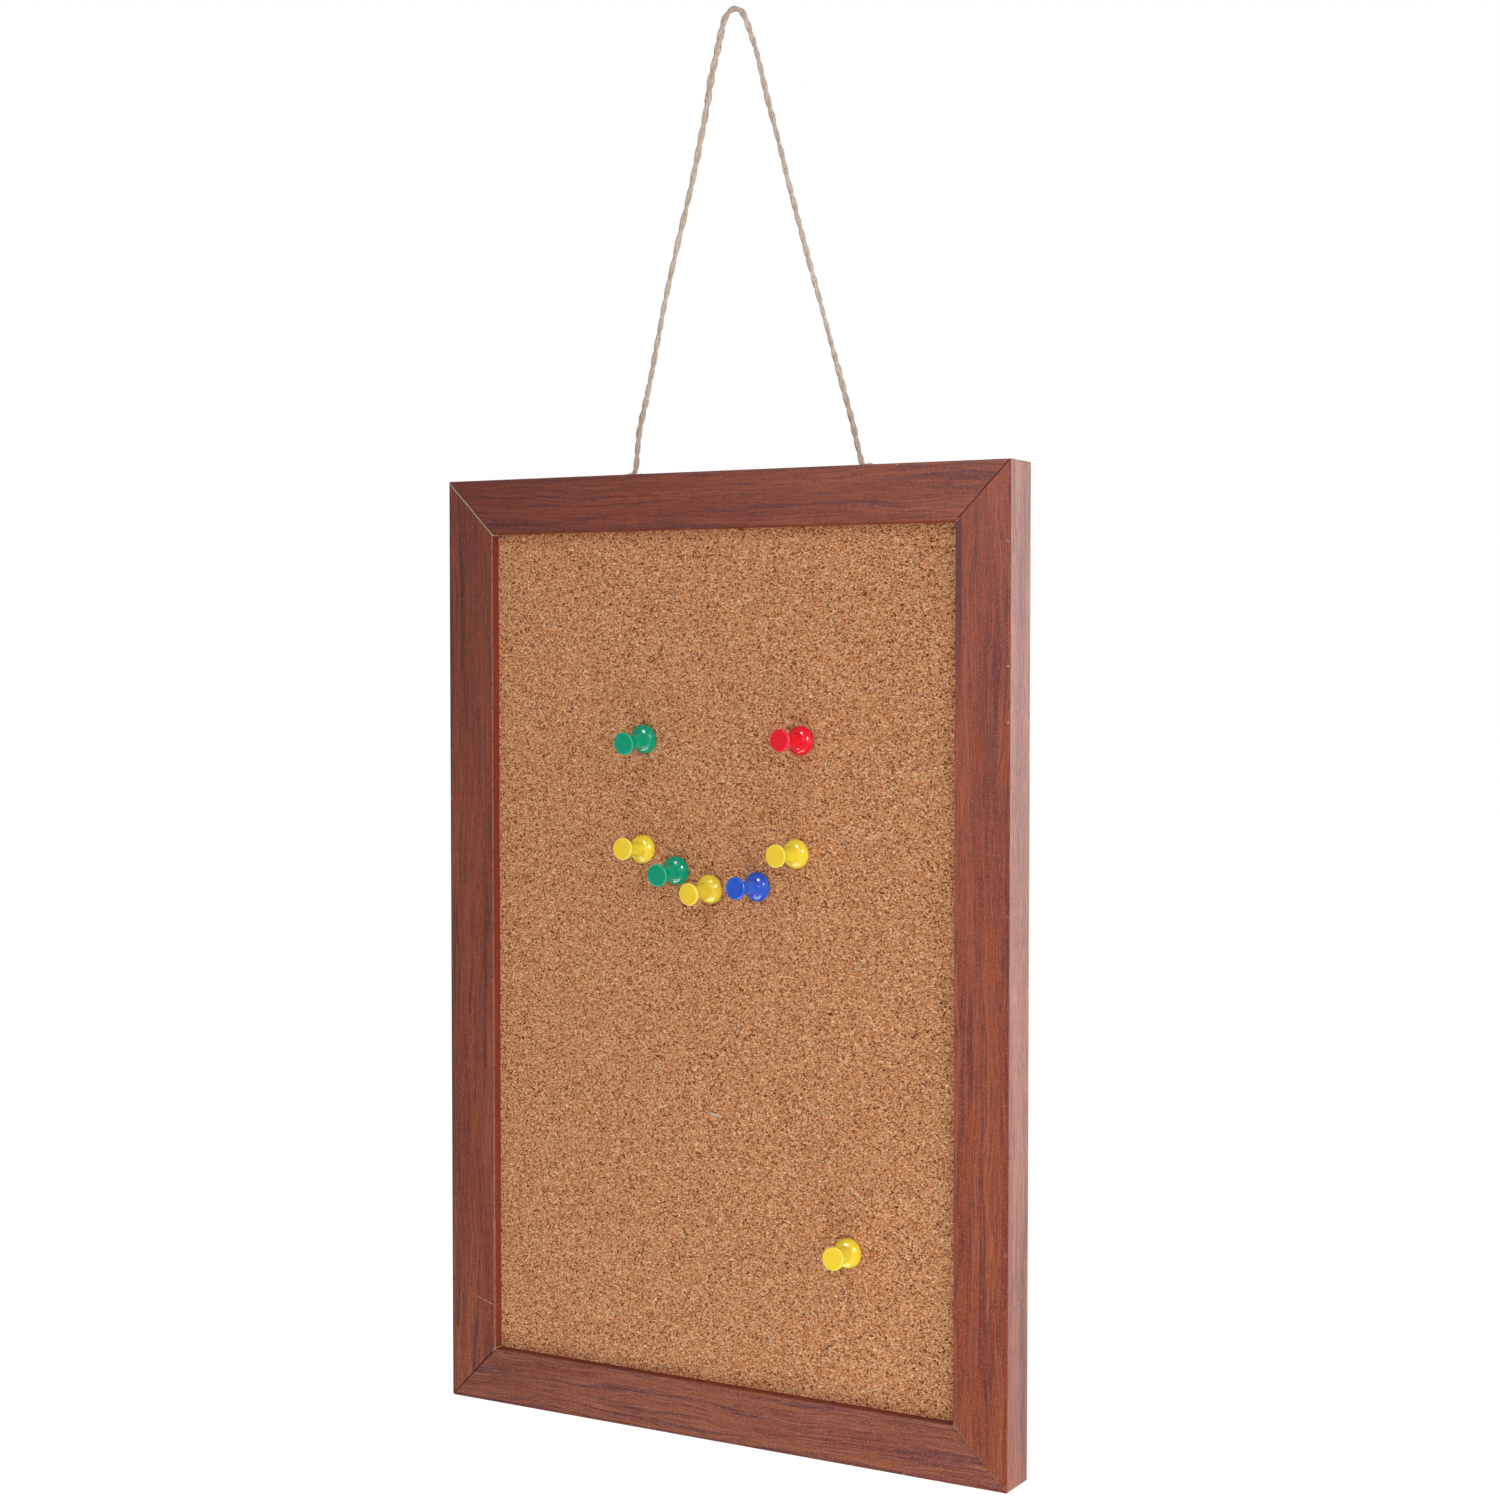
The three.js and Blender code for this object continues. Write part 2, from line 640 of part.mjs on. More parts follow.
// One side of the frame, with the darts along it and the V-nail at its right-hand end seen from the front
function frameSide(side, index) {
  const isShort = side.length === BOARD_WIDTH;
  const shares = isShort ? SHORT_RAIL_POINT_SHARES : LONG_RAIL_POINT_SHARES;
  const group = new THREE.Group();
  group.position.set(side.outwards[0], 0, side.outwards[1]);
  group.rotation.y = side.turn;
  const cutters = [vnailSlot(side.length, -1), vnailSlot(side.length, 1)];
  for (const share of shares) {
    cutters.push(framersPointSlot(share * side.length));
    pointCount += 1;
    const dart = piece(`framers_point_${pointCount}`, framersPoint(), MATERIALS.steel);
    dart.position.x = share * side.length;
    group.add(dart);
  }
  if (side.name === "top") {
    cutters.push(screwEyeHole(-EYE_SPAN / 2), screwEyeHole(EYE_SPAN / 2));
  }
  const rail = cut(mitredRail(side.length), cutters);
  group.add(piece(`frame_${side.name}_rail`, rail, MATERIALS.foil));
  group.add(piece(`vnail_${index + 1}`, vnail(side.length), MATERIALS.steel));
  return group;
}

let pointCount = 0;
const FRAME_SIDES = [
  { name: "top", length: BOARD_WIDTH, outwards: [0, BOARD_HEIGHT / 2], turn: 0 },
  { name: "right", length: BOARD_HEIGHT, outwards: [BOARD_WIDTH / 2, 0], turn: Math.PI / 2 },
  { name: "bottom", length: BOARD_WIDTH, outwards: [0, -BOARD_HEIGHT / 2], turn: Math.PI },
  { name: "left", length: BOARD_HEIGHT, outwards: [-BOARD_WIDTH / 2, 0], turn: -Math.PI / 2 },
];

// The board, measured from the centre of its front face
function board() {
  const group = new THREE.Group();
  group.position.set(0, -NAIL_TO_FRONT, -NAIL_TO_TOP - BOARD_HEIGHT / 2);
  FRAME_SIDES.forEach((side, index) => group.add(frameSide(side, index)));
  const holes = PINS.map(needleHole);
  const cork = slab(PANEL_WIDTH, PANEL_HEIGHT, LIP_DEPTH, CORE_FRONT);
  const core = slab(PANEL_WIDTH, PANEL_HEIGHT, CORE_FRONT, BACK_PANEL_FRONT);
  const back = slab(PANEL_WIDTH, PANEL_HEIGHT, BACK_PANEL_FRONT, STACK_BACK);
  group.add(piece("cork_sheet", cut(cork, holes), MATERIALS.cork));
  group.add(piece("softboard_core", cut(core, holes), MATERIALS.softboard));
  group.add(piece("back_panel", back, MATERIALS.hardboard));
  for (const side of SIDES) {
    const eye = piece(`${side.name}_screw_eye`, screwEye(), MATERIALS.steel);
    eye.position.copy(eyeCentre(side.hand)).sub(group.position);
    group.add(eye);
  }
  PINS.forEach((pin, index) => group.add(pushPin(pin, index)));
  return group;
}

function pushPin(pin, index) {
  const group = new THREE.Group();
  const stand = pinStand(pin);
  group.position.copy(stand.place);
  group.quaternion.copy(stand.turn);
  group.add(piece(`pin_${index + 1}_body`, pinBody(), MATERIALS[pin.colour]));
  group.add(piece(`pin_${index + 1}_needle`, pinNeedle(), MATERIALS.steel));
  return group;
}

// The loop of twine, from eye to eye over the nail
function loop() {
  const group = new THREE.Group();
  group.add(piece("hanging_twine", hangingTwine(), MATERIALS.twine));
  for (const side of SIDES) {
    const route = hitchRoute(side.hand);
    console.log(`${side.name} hitch, least gap to itself: ${leastOwnGap(route).toFixed(2)} mm`);
    group.add(piece(`${side.name}_twine_hitch`, woundTube(route), MATERIALS.twine));
  }
  return group;
}

const corkBoard = new THREE.Group();
corkBoard.add(board(), loop());

export default corkBoard;
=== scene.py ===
# %% [markdown]
# A framed cork board that hangs on a loop of jute twine, with eight push pins in it.
# The imported CAD part is loaded first and stays as it is: everything made here is placed by it, in
# metres, with X to the right, Z up and the front facing -Y. The origin is the point of the nail that
# carries the twine. The box of the CAD part is measured now, and sets the floor's height later.

import json
import math
import random

import bpy
from mathutils import Matrix, Vector, geometry, noise

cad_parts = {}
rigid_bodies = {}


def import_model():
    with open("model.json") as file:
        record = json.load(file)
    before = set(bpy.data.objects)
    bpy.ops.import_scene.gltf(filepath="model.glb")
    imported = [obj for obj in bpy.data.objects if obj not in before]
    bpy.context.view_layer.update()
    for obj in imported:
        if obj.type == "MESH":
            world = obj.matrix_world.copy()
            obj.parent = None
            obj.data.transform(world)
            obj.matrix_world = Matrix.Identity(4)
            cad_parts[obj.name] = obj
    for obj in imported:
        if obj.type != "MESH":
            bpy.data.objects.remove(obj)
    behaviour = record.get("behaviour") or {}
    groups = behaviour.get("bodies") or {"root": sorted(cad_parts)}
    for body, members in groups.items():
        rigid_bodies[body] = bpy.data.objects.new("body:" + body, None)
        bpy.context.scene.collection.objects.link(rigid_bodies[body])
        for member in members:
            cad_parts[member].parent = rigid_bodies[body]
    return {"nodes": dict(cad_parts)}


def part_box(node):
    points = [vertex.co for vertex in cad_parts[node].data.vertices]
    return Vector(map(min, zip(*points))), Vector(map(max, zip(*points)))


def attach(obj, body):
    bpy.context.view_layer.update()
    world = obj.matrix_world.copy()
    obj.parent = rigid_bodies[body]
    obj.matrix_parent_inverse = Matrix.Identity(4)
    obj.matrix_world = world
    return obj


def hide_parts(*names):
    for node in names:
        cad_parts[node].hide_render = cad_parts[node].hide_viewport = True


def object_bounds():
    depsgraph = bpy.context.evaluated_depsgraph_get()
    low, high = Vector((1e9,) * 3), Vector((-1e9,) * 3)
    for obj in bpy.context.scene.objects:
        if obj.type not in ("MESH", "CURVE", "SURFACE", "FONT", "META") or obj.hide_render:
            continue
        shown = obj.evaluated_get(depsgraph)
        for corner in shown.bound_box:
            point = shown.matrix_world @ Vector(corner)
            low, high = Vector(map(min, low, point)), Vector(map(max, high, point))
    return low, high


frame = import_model()
cad_low, cad_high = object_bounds()
MM = 0.001
print("CAD box in mm:", [round(x / MM, 1) for x in (cad_high - cad_low)])

# %% [markdown]
# The board is 200 mm wide and 300 mm high. Its front face lies 14 mm before the nail and its top edge
# 142 mm below it. The frame's rails are 17.4 mm wide and the cork lies 3.5 mm behind their front.
# These sizes are taken from the CAD nodes where a node has them, so that both always agree.

# %% Main sizes
board_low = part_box("frame_left_rail")[0]
board_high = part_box("frame_right_rail")[1]
BOARD_WIDTH = board_high.x - board_low.x
BOARD_HEIGHT = board_high.z - board_low.z
FRONT = board_low.y
BOARD_MIDDLE = (board_low.z + board_high.z) / 2
RAIL_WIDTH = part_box("frame_left_rail")[1].x - board_low.x
CORK_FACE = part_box("cork_sheet")[0].y
sizes_mm = [round(size / MM, 2) for size in (BOARD_WIDTH, BOARD_HEIGHT, RAIL_WIDTH)]
print("board width, board height and rail width in mm:", sizes_mm)

# %% [markdown]
# The camera comes first, because every later choice is judged through it. The photograph was taken
# from about 0.8 m, a little above the middle of the board and 30 degrees to its right, with a lens of
# moderate length, so the right side of the frame shows and the edges run together slightly.

# %% Camera
CAMERA_PLACE = (0.4088, -0.6894, -0.1981)
CAMERA_TURN_DEGREES = 30.33
CAMERA_DIP_DEGREES = 2.13


def add_object(name, data):
    """A new object in the scene, at the origin."""
    made = bpy.data.objects.new(name, data)
    bpy.context.scene.collection.objects.link(made)
    return made


camera_data = bpy.data.cameras.new("camera")
camera_data.lens = 61.74
camera_data.sensor_width = 36
camera_data.sensor_fit = "HORIZONTAL"
camera_data.clip_start = 0.01
camera = add_object("camera", camera_data)
camera.location = CAMERA_PLACE
camera.rotation_euler = (math.radians(90 - CAMERA_DIP_DEGREES), 0, math.radians(CAMERA_TURN_DEGREES))
bpy.context.scene.camera = camera
bpy.context.scene.view_settings.view_transform = "Standard"
print("camera stands", round(Vector(CAMERA_PLACE).length, 3), "m from the nail")

# %% [markdown]
# The hanger is one length of two-ply jute twine. At each end it passes down through the ring of a
# screw eye, turns round the wire and is wound twice round itself, and between the two hitches it runs
# up over the nail. The centreline below repeats the CAD route: the wound ends are worked out from the
# ring, and the free stretch goes through points, because a real twine keeps small bends of its own.

# %% The hitch at a screw eye
TWINE_RADIUS = 0.9 * MM
EYE_SPAN = 91 * MM
EYE_HEIGHT = -150.5 * MM
EYE_DEPTH = 7 * MM
EYE_RING_RADIUS = 3.2 * MM
EYE_WIRE_RADIUS = 0.8 * MM
LEG_LEAN = math.radians(16.8)
HITCH_RADIUS = EYE_WIRE_RADIUS + 0.3 * MM + TWINE_RADIUS
HITCH_LEG_LENGTH = 8.2 * MM
HITCH_ROUND = math.radians(188)
BRIDGE_PULL = 1.7 * MM
WINDING_RADIUS = 2 * TWINE_RADIUS + 0.5 * MM
WINDING_START = 2.4 * MM
WINDING_START_ANGLE = math.radians(120)
WINDING_PITCH = 2.35 * MM
WINDING_TURNS = 2
HITCH_TAIL = 2 * MM
LEG_STEPS = 9
ROUND_STEPS = 12
BRIDGE_POINTS = 7
STEPS_PER_TURN = 20


def hitch_point(hand, inwards, up, backwards):
    lean = math.atan2(EYE_DEPTH, TWINE_RADIUS - EYE_HEIGHT)
    return Vector((
        hand * EYE_SPAN / 2 - hand * inwards,
        EYE_DEPTH - up * math.sin(lean) + backwards * math.cos(lean),
        EYE_HEIGHT + up * math.cos(lean) + backwards * math.sin(lean),
    ))


def beside_leg(hand, along, inwards, backwards):
    sine = math.sin(LEG_LEAN)
    cosine = math.cos(LEG_LEAN)
    across = (HITCH_RADIUS + inwards) * cosine + along * sine
    up = EYE_RING_RADIUS - (HITCH_RADIUS + inwards) * sine + along * cosine
    return hitch_point(hand, across, up, backwards)


def round_the_wire(hand, share):
    angle = -LEG_LEAN - share * HITCH_ROUND
    up = EYE_RING_RADIUS + HITCH_RADIUS * math.sin(angle)
    return hitch_point(hand, HITCH_RADIUS * math.cos(angle), up, 0)


def round_the_leg(hand, turns):
    angle = WINDING_START_ANGLE - turns * 2 * math.pi
    climb = WINDING_START + turns * WINDING_PITCH
    return beside_leg(hand, climb, WINDING_RADIUS * math.cos(angle), WINDING_RADIUS * math.sin(angle))


def hitch_route(hand):
    points = [beside_leg(hand, HITCH_LEG_LENGTH * (1 - i / LEG_STEPS), 0, 0) for i in range(LEG_STEPS)]
    points += [round_the_wire(hand, i / ROUND_STEPS) for i in range(ROUND_STEPS + 1)]
    round_end = points[-1]
    round_heading = (points[-1] - points[-2]).normalized()
    winding_foot = round_the_leg(hand, 0)
    winding_heading = (round_the_leg(hand, 1 / STEPS_PER_TURN) - winding_foot).normalized()
    bridge_in = round_end + round_heading * BRIDGE_PULL
    bridge_out = winding_foot - winding_heading * BRIDGE_PULL
    bridge = geometry.interpolate_bezier(round_end, bridge_in, bridge_out, winding_foot, BRIDGE_POINTS)
    points += bridge[1:-1]
    points += [round_the_leg(hand, i / STEPS_PER_TURN) for i in range(STEPS_PER_TURN * WINDING_TURNS + 1)]
    tail = (points[-1] - points[-2]).normalized() * HITCH_TAIL
    winding_end = points[-1]
    return [*points, winding_end + tail / 2, winding_end + tail]


print("a hitch has", len(hitch_route(1)), "points")

# %% The whole centreline, from one tail to the other
FREE_STRETCH_MM = [
    (-38.9, 5.9, -126.4), (-36.1, 5.5, -117), (-31.9, 4.7, -101.5), (-27.9, 4, -86),
    (-24.3, 3.5, -73.8), (-20.5, 2.9, -61.7), (-16.7, 2.3, -49.6), (-13.4, 1.8, -37.6),
    (-10.4, 1.2, -25.7), (-9.2, 1, -19.7), (-6.5, 0.5, -10.8), (-4.6, 0.2, -4.4),
    (-3.6, 0.1, -1.7), (-1.9, 0, 0.3), (0, 0, 0.9), (1.6, 0, 0.4),
    (3, 0.1, -1), (4.9, 0.3, -5.5), (7.3, 0.6, -12.5), (9.6, 1, -21.8),
    (11.1, 1.3, -28), (14.4, 1.9, -40.4), (17.5, 2.5, -52.8), (20.8, 3.1, -65.1),
    (24.6, 3.7, -79), (28.6, 4.3, -93), (32.5, 5, -107), (36.3, 5.6, -120.6),
    (38, 5.9, -126.7),
]
leg_start = HITCH_LEG_LENGTH + 0.3 * MM
leg_straight = leg_start + 2 * TWINE_RADIUS
twine_guides = list(reversed(hitch_route(-1)))
twine_guides += [beside_leg(-1, leg_start, 0, 0), beside_leg(-1, leg_straight, 0, 0)]
twine_guides += [Vector(point) * MM for point in FREE_STRETCH_MM]
twine_guides += [beside_leg(1, leg_straight, 0, 0), beside_leg(1, leg_start, 0, 0)]
twine_guides += hitch_route(1)


def smooth_line(guides, spacing):
    """A line through the guides, with knots spaced by the root of their distance, at an even spacing."""
    ends = [guides[0] * 2 - guides[1], *guides, guides[-1] * 2 - guides[-2]]
    dense = []
    for before, start, end, after in zip(ends, ends[1:], ends[2:], ends[3:]):
        first = (start - before).length ** 0.5
        middle = (end - start).length ** 0.5
        last = (after - end).length ** 0.5
        slope_in = (start - before) / first - (end - before) / (first + middle) + (end - start) / middle
        slope_out = (end - start) / middle - (after - start) / (middle + last) + (after - end) / last
        handle_in = start + slope_in * middle / 3
        handle_out = end - slope_out * middle / 3
        count = max(3, math.ceil((end - start).length / spacing * 4))
        dense += geometry.interpolate_bezier(start, handle_in, handle_out, end, count)[:-1]
    dense.append(guides[-1].copy())
    line = [dense[0]]
    left = spacing
    for start, end in zip(dense, dense[1:]):
        step = (end - start).length
        while step >= left:
            line.append(start.lerp(end, left / step))
            left += spacing
        left -= step
    if (line[-1] - dense[-1]).length > spacing / 2:
        line.append(dense[-1])
    return line


TWINE_STEP = 0.45 * MM
twine_line = smooth_line(twine_guides, TWINE_STEP)

# %% [markdown]
# Two-ply twine is two soft yarns laid round each other. Each yarn is a tube that winds round the
# centreline, half a turn from the other, and its thickness wanders as spun jute does. The plies are
# laid loosely, more so in the left leg, so they press into each other and the outline stays gentle.
# Fine ridges along each yarn are its bundles of fibres. A point of a yarn also keeps its place in the
# straightened yarn as an attribute, which the fibre pattern reads.

# %% The two yarns
YARN_RADIUS = 0.58 * MM
YARN_SIDES = 24
YARN_OFFSET = 0.33 * MM
YARN_RIDGE = 0.13
FIBRE_TURN = 0.13
CLOSING_RINGS = 4
PLY_DISTANCE = 500
LEFT_LEG = (0.33, 0.14)
RIGHT_LEG = (0.66, 0.16)
UPPER_LEFT = (0.41, 0.11)


def outward(side, other, turn):
    """The direction at a turn from one direction towards the other."""
    return side * math.cos(turn) + other * math.sin(turn)


def carried_frames(line):
    """A direction along the line and two across it at each point, carried on without twist."""
    frames = []
    side = Vector((0, 1, 0))
    for i in range(len(line)):
        along = (line[min(i + 1, len(line) - 1)] - line[max(i - 1, 0)]).normalized()
        side = (side - along * side.dot(along)).normalized()
        frames.append((along, side, along.cross(side)))
    return frames


def nearness(share, middle, reach):
    """1 at a place along the twine, falling to 0 over its reach."""
    return max(0.0, 1 - abs(share - middle) / reach)


def lay_at(share):
    """Length of one full turn of the plies, and how full they are, at a share of the twine's length."""
    left_leg = nearness(share, *LEFT_LEG)
    right_leg = nearness(share, *RIGHT_LEG)
    turn_length = (9.5 + 5.5 * left_leg + 1.2 * right_leg) * MM
    fullness = 1.0 - 0.04 * left_leg + 0.32 * nearness(share, *UPPER_LEFT) - 0.14 * right_leg
    return turn_length, fullness + 0.26 * noise.noise(Vector((share * 34, 5.7, 1.3)))


twine_frames = carried_frames(twine_line)
twine_lay = [lay_at(i / len(twine_line)) for i in range(len(twine_line))]
twine_turns = [0.0]
for i in range(1, len(twine_line)):
    turn_length = twine_lay[i][0]
    uneven = 1 + 0.25 * noise.noise(Vector((i * 0.02, 3.1, 0)))
    twine_turns.append(twine_turns[-1] + TWINE_STEP / turn_length * uneven)


def yarn_centre(i, ply):
    along, side, other = twine_frames[i]
    fullness = twine_lay[i][1]
    angle = 2 * math.pi * (twine_turns[i] + ply / 2)
    offset = YARN_OFFSET * fullness * (1 + 0.12 * noise.noise(Vector((i * 0.035, 9.0, ply * 5.0))))
    return twine_line[i] + outward(side, other, angle) * offset


class Tubes:
    """The corners and faces of closed tubes, with each corner's place in the straightened yarn."""

    def __init__(self):
        self.corners = []
        self.places = []
        self.faces = []

    def add(self, rings):
        """Adds one tube: rings of corners, each joined to the next, and a cap at both ends."""
        sides = len(rings[0])
        first = len(self.corners)
        for ring in rings:
            self.corners += ring
        last = len(self.corners) - sides
        for start in range(first, last, sides):
            for k in range(sides):
                a = start + k
                b = start + (k + 1) % sides
                self.faces.append((a, b, b + sides, a + sides))
        self.faces.append(tuple(reversed(range(first, first + sides))))
        self.faces.append(tuple(range(last, last + sides)))

    def piece(self, name):
        """A smooth-shaded object at the origin, which keeps the places as an attribute."""
        mesh = bpy.data.meshes.new(name)
        mesh.from_pydata([tuple(corner) for corner in self.corners], [], self.faces)
        mesh.shade_smooth()
        place_layer = mesh.attributes.new("yarn_place", "FLOAT_VECTOR", "POINT")
        place_layer.data.foreach_set("vector", [x for place in self.places for x in place])
        print(name, "has", len(mesh.polygons), "faces")
        return add_object(name, mesh)


yarns = Tubes()
for ply in (0, 1):
    centres = [yarn_centre(i, ply) for i in range(len(twine_line))]
    rings = []
    for i, (along, side, other) in enumerate(carried_frames(centres)):
        fullness = twine_lay[i][1]
        closing = min(1.0, 0.45 + 0.55 * min(i, len(centres) - 1 - i) / CLOSING_RINGS)
        slub = noise.noise(Vector((i * 0.03, ply * 4.0, 2.0)))
        ring = []
        for k in range(YARN_SIDES):
            turn = 2 * math.pi * k / YARN_SIDES
            fibre_turn = turn + i * FIBRE_TURN
            fibre_x = math.cos(fibre_turn)
            fibre_y = math.sin(fibre_turn)
            lump = noise.noise(Vector((i * 0.05, math.cos(turn) + ply * 7, math.sin(turn))))
            ridge = noise.noise(Vector((fibre_x * 2.4, fibre_y * 2.4, i * 0.035 + ply * 50)))
            relative = 1 + 0.1 * lump + 0.14 * slub + YARN_RIDGE * ridge
            radius = YARN_RADIUS * fullness * closing * relative
            ring.append(centres[i] + outward(side, other, turn) * radius)
            yarns.places.append((fibre_x, fibre_y, i * TWINE_STEP / MM + ply * PLY_DISTANCE))
        rings.append(ring)
    yarns.add(rings)
twine = yarns.piece("jute_twine")

# %% [markdown]
# Jute sheds short hairs, which soften the twine's outline and fray its cut ends. Each hair is a bent
# three-sided thread that leaves a yarn at a low angle. There are hundreds, so each has few faces.
# Longer loose strands lie on the twine and bridge the groove between its plies. Most are painted paler
# than the yarns, as the highlight of light falling full on them, some browner, and they keep how pale
# they are as an attribute.

# %% Stray fibres
HAIR_COUNT = 620
END_HAIR_COUNT = 46
HAIR_RADIUS = 0.03 * MM
HAIR_JOINTS = 4
CORNER_TURNS = [2 * math.pi * k / 3 for k in range(3)]
hair_chance = random.Random(41)


def thread_ring(tubes, point, across, over, thin, place):
    """Three corners round a point, whose place along the yarn is kept as well."""
    ring = []
    for turn in CORNER_TURNS:
        ring.append(point + outward(across, over, turn) * thin)
        tubes.places.append((math.cos(turn), math.sin(turn), place))
    return ring


def add_hair(hairs, start, heading, lift, length):
    """Adds one hair from start, which bends from its heading towards lift over its length."""
    tone = hair_chance.uniform(0, 400)
    across = heading.cross(lift).normalized()
    over = heading.cross(across).normalized()
    rings = []
    for joint in range(HAIR_JOINTS):
        share = joint / (HAIR_JOINTS - 1)
        point = start + heading * length * share + lift * length * share * share
        rings.append(thread_ring(
            hairs, point, across, over, HAIR_RADIUS * (1 - 0.75 * share), tone + share * 2))
    hairs.add(rings)


hairs = Tubes()
for _ in range(HAIR_COUNT):
    i = hair_chance.randrange(3, len(twine_line) - 3)
    ply = hair_chance.choice((0, 1))
    along, side, other = twine_frames[i]
    outwards = (yarn_centre(i, ply) - twine_line[i]).normalized()
    outwards = (outwards + along.cross(outwards) * hair_chance.uniform(-1.2, 1.2)).normalized()
    start = yarn_centre(i, ply) + outwards * YARN_RADIUS * 0.86
    heading = along * hair_chance.choice((-1, 1)) + outwards * hair_chance.uniform(0.04, 0.4)
    lift = outwards * hair_chance.uniform(-0.2, 0.2) + other * hair_chance.uniform(-0.2, 0.2) + side * 0.01
    length = hair_chance.uniform(0.6, 2.4) * MM
    add_hair(hairs, start, heading.normalized(), lift, length)
for i, way in ((1, -1), (len(twine_line) - 2, 1)):
    along, side, other = twine_frames[i]
    for _ in range(END_HAIR_COUNT):
        turn = hair_chance.uniform(0, 2 * math.pi)
        spoke = outward(side, other, turn)
        start = twine_line[i] + spoke * hair_chance.uniform(0.1, 0.8) * MM
        heading = along * way + spoke * hair_chance.uniform(0, 0.35)
        lift = spoke * hair_chance.uniform(0.02, 0.25) + side * 0.01
        add_hair(hairs, start, heading.normalized(), lift, hair_chance.uniform(0.8, 2) * MM)
fibres = hairs.piece("twine_fibres")

# %% Loose strands on the twine
STRAND_COUNT = 210
STRAND_JOINTS = 9
STRAND_GAP = 0.02 * MM
END_MARGIN = 20
strand_chance = random.Random(8)


def twine_surface(i, angle):
    """The point of the twine's surface at a line point and an angle, and its direction outwards."""
    along, side, other = twine_frames[i]
    fullness = twine_lay[i][1]
    from_plies = angle - 2 * math.pi * twine_turns[i]
    offset = YARN_OFFSET * fullness
    radius = YARN_RADIUS * fullness
    reach = offset * abs(math.cos(from_plies))
    reach += math.sqrt(radius ** 2 - (offset * math.sin(from_plies)) ** 2)
    outwards = outward(side, other, angle)
    return twine_line[i] + outwards * (reach + STRAND_GAP), outwards


loose = Tubes()
shades = []
for strand in range(STRAND_COUNT):
    steps = strand_chance.randrange(9, 30)
    first = strand_chance.randrange(END_MARGIN, len(twine_line) - END_MARGIN - steps)
    angle = strand_chance.uniform(0, 2 * math.pi)
    turn_rate = 2 * math.pi * TWINE_STEP / (strand_chance.uniform(5, 16) * MM)
    thickness = strand_chance.uniform(0.035, 0.085) * MM
    shades += [strand_chance.uniform(-0.5, 1.0)] * (3 * STRAND_JOINTS)
    rings = []
    for joint in range(STRAND_JOINTS):
        share = joint / (STRAND_JOINTS - 1)
        i = first + round(steps * share)
        point, outwards = twine_surface(i, angle + turn_rate * steps * share)
        across = twine_frames[i][0].cross(outwards)
        thin = thickness * (1 - 0.8 * (2 * share - 1) ** 2)
        rings.append(thread_ring(loose, point, across, outwards, thin, 800 + strand * 9 + share * 3))
    loose.add(rings)
strands = loose.piece("twine_strands")
shade_layer = strands.data.attributes.new("paleness", "FLOAT", "POINT")
shade_layer.data.foreach_set("value", shades)
print("strands from", round(min(shades), 2), "brown to", round(max(shades), 2), "pale")

# %% The twine rides on the loop's body, in place of the CAD twine
for piece in (twine, fibres, strands):
    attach(piece, "loop")
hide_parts("hanging_twine", "left_twine_hitch", "right_twine_hitch")

# %% [markdown]
# Every finish is built from nodes. These small helpers add a node, multiply and blend, stretch a range
# and turn a screen colour into the linear colour that a socket takes. A new node belongs to the finish
# that was begun last. Patterns read an object's own coordinates, which stay with the piece when it moves.

# %% Helpers for finishes
def paint(red, green, blue):
    """A screen colour, 0 to 255, as the linear colour of a shader socket."""
    linear = []
    for level in (red, green, blue):
        share = level / 255
        linear.append(share / 12.92 if share <= 0.04045 else ((share + 0.055) / 1.055) ** 2.4)
    return (*linear, 1.0)


def begin(owner):
    """From here on, new nodes belong to this material or world."""
    global tree
    owner.use_nodes = True
    tree = owner.node_tree


def set_inputs(node, values):
    """Links or sets each named or numbered input of a node."""
    for socket, value in values.items():
        if isinstance(value, bpy.types.NodeSocket):
            tree.links.new(value, node.inputs[socket])
        else:
            node.inputs[socket].default_value = value


def add_node(kind, values=None, **settings):
    made = tree.nodes.new(kind)
    for name, value in settings.items():
        setattr(made, name, value)
    set_inputs(made, values or {})
    return made


def new_finish(name, roughness, specular=0.5, metallic=0.0):
    """Begins a material, and returns it with its shader."""
    finish = bpy.data.materials.new(name)
    begin(finish)
    shader = tree.nodes["Principled BSDF"]
    set_inputs(shader, {"Roughness": roughness, "Specular IOR Level": specular, "Metallic": metallic})
    return finish, shader


def calc(operation, first, second=0.0, third=0.0):
    return add_node("ShaderNodeMath", {0: first, 1: second, 2: third}, operation=operation).outputs[0]


def vector_calc(operation, values):
    return add_node("ShaderNodeVectorMath", values, operation=operation).outputs[0]


def times(first, *others):
    for other in others:
        first = calc("MULTIPLY", first, other)
    return first


def stretch(value, low, high, to_low=0.0, to_high=1.0, smooth=True):
    """Maps low..high onto to_low..to_high, held at both ends."""
    kind = "SMOOTHSTEP" if smooth else "LINEAR"
    values = {0: value, 1: low, 2: high, 3: to_low, 4: to_high}
    return add_node("ShaderNodeMapRange", values, interpolation_type=kind).outputs[0]


def between(value, low, high, soft):
    """1 between low and high, falling to 0 over a soft edge at each side."""
    return times(stretch(value, low - soft, low), stretch(value, high + soft, high))


def blend(share, first, second, how="MIX"):
    """Blends two colours by a share. Three plain numbers are a screen colour."""
    values = {0: share, 6: first, 7: second}
    for socket in (6, 7):
        if isinstance(values[socket], tuple) and len(values[socket]) == 3:
            values[socket] = paint(*values[socket])
    return add_node("ShaderNodeMix", values, data_type="RGBA", blend_type=how).outputs[2]


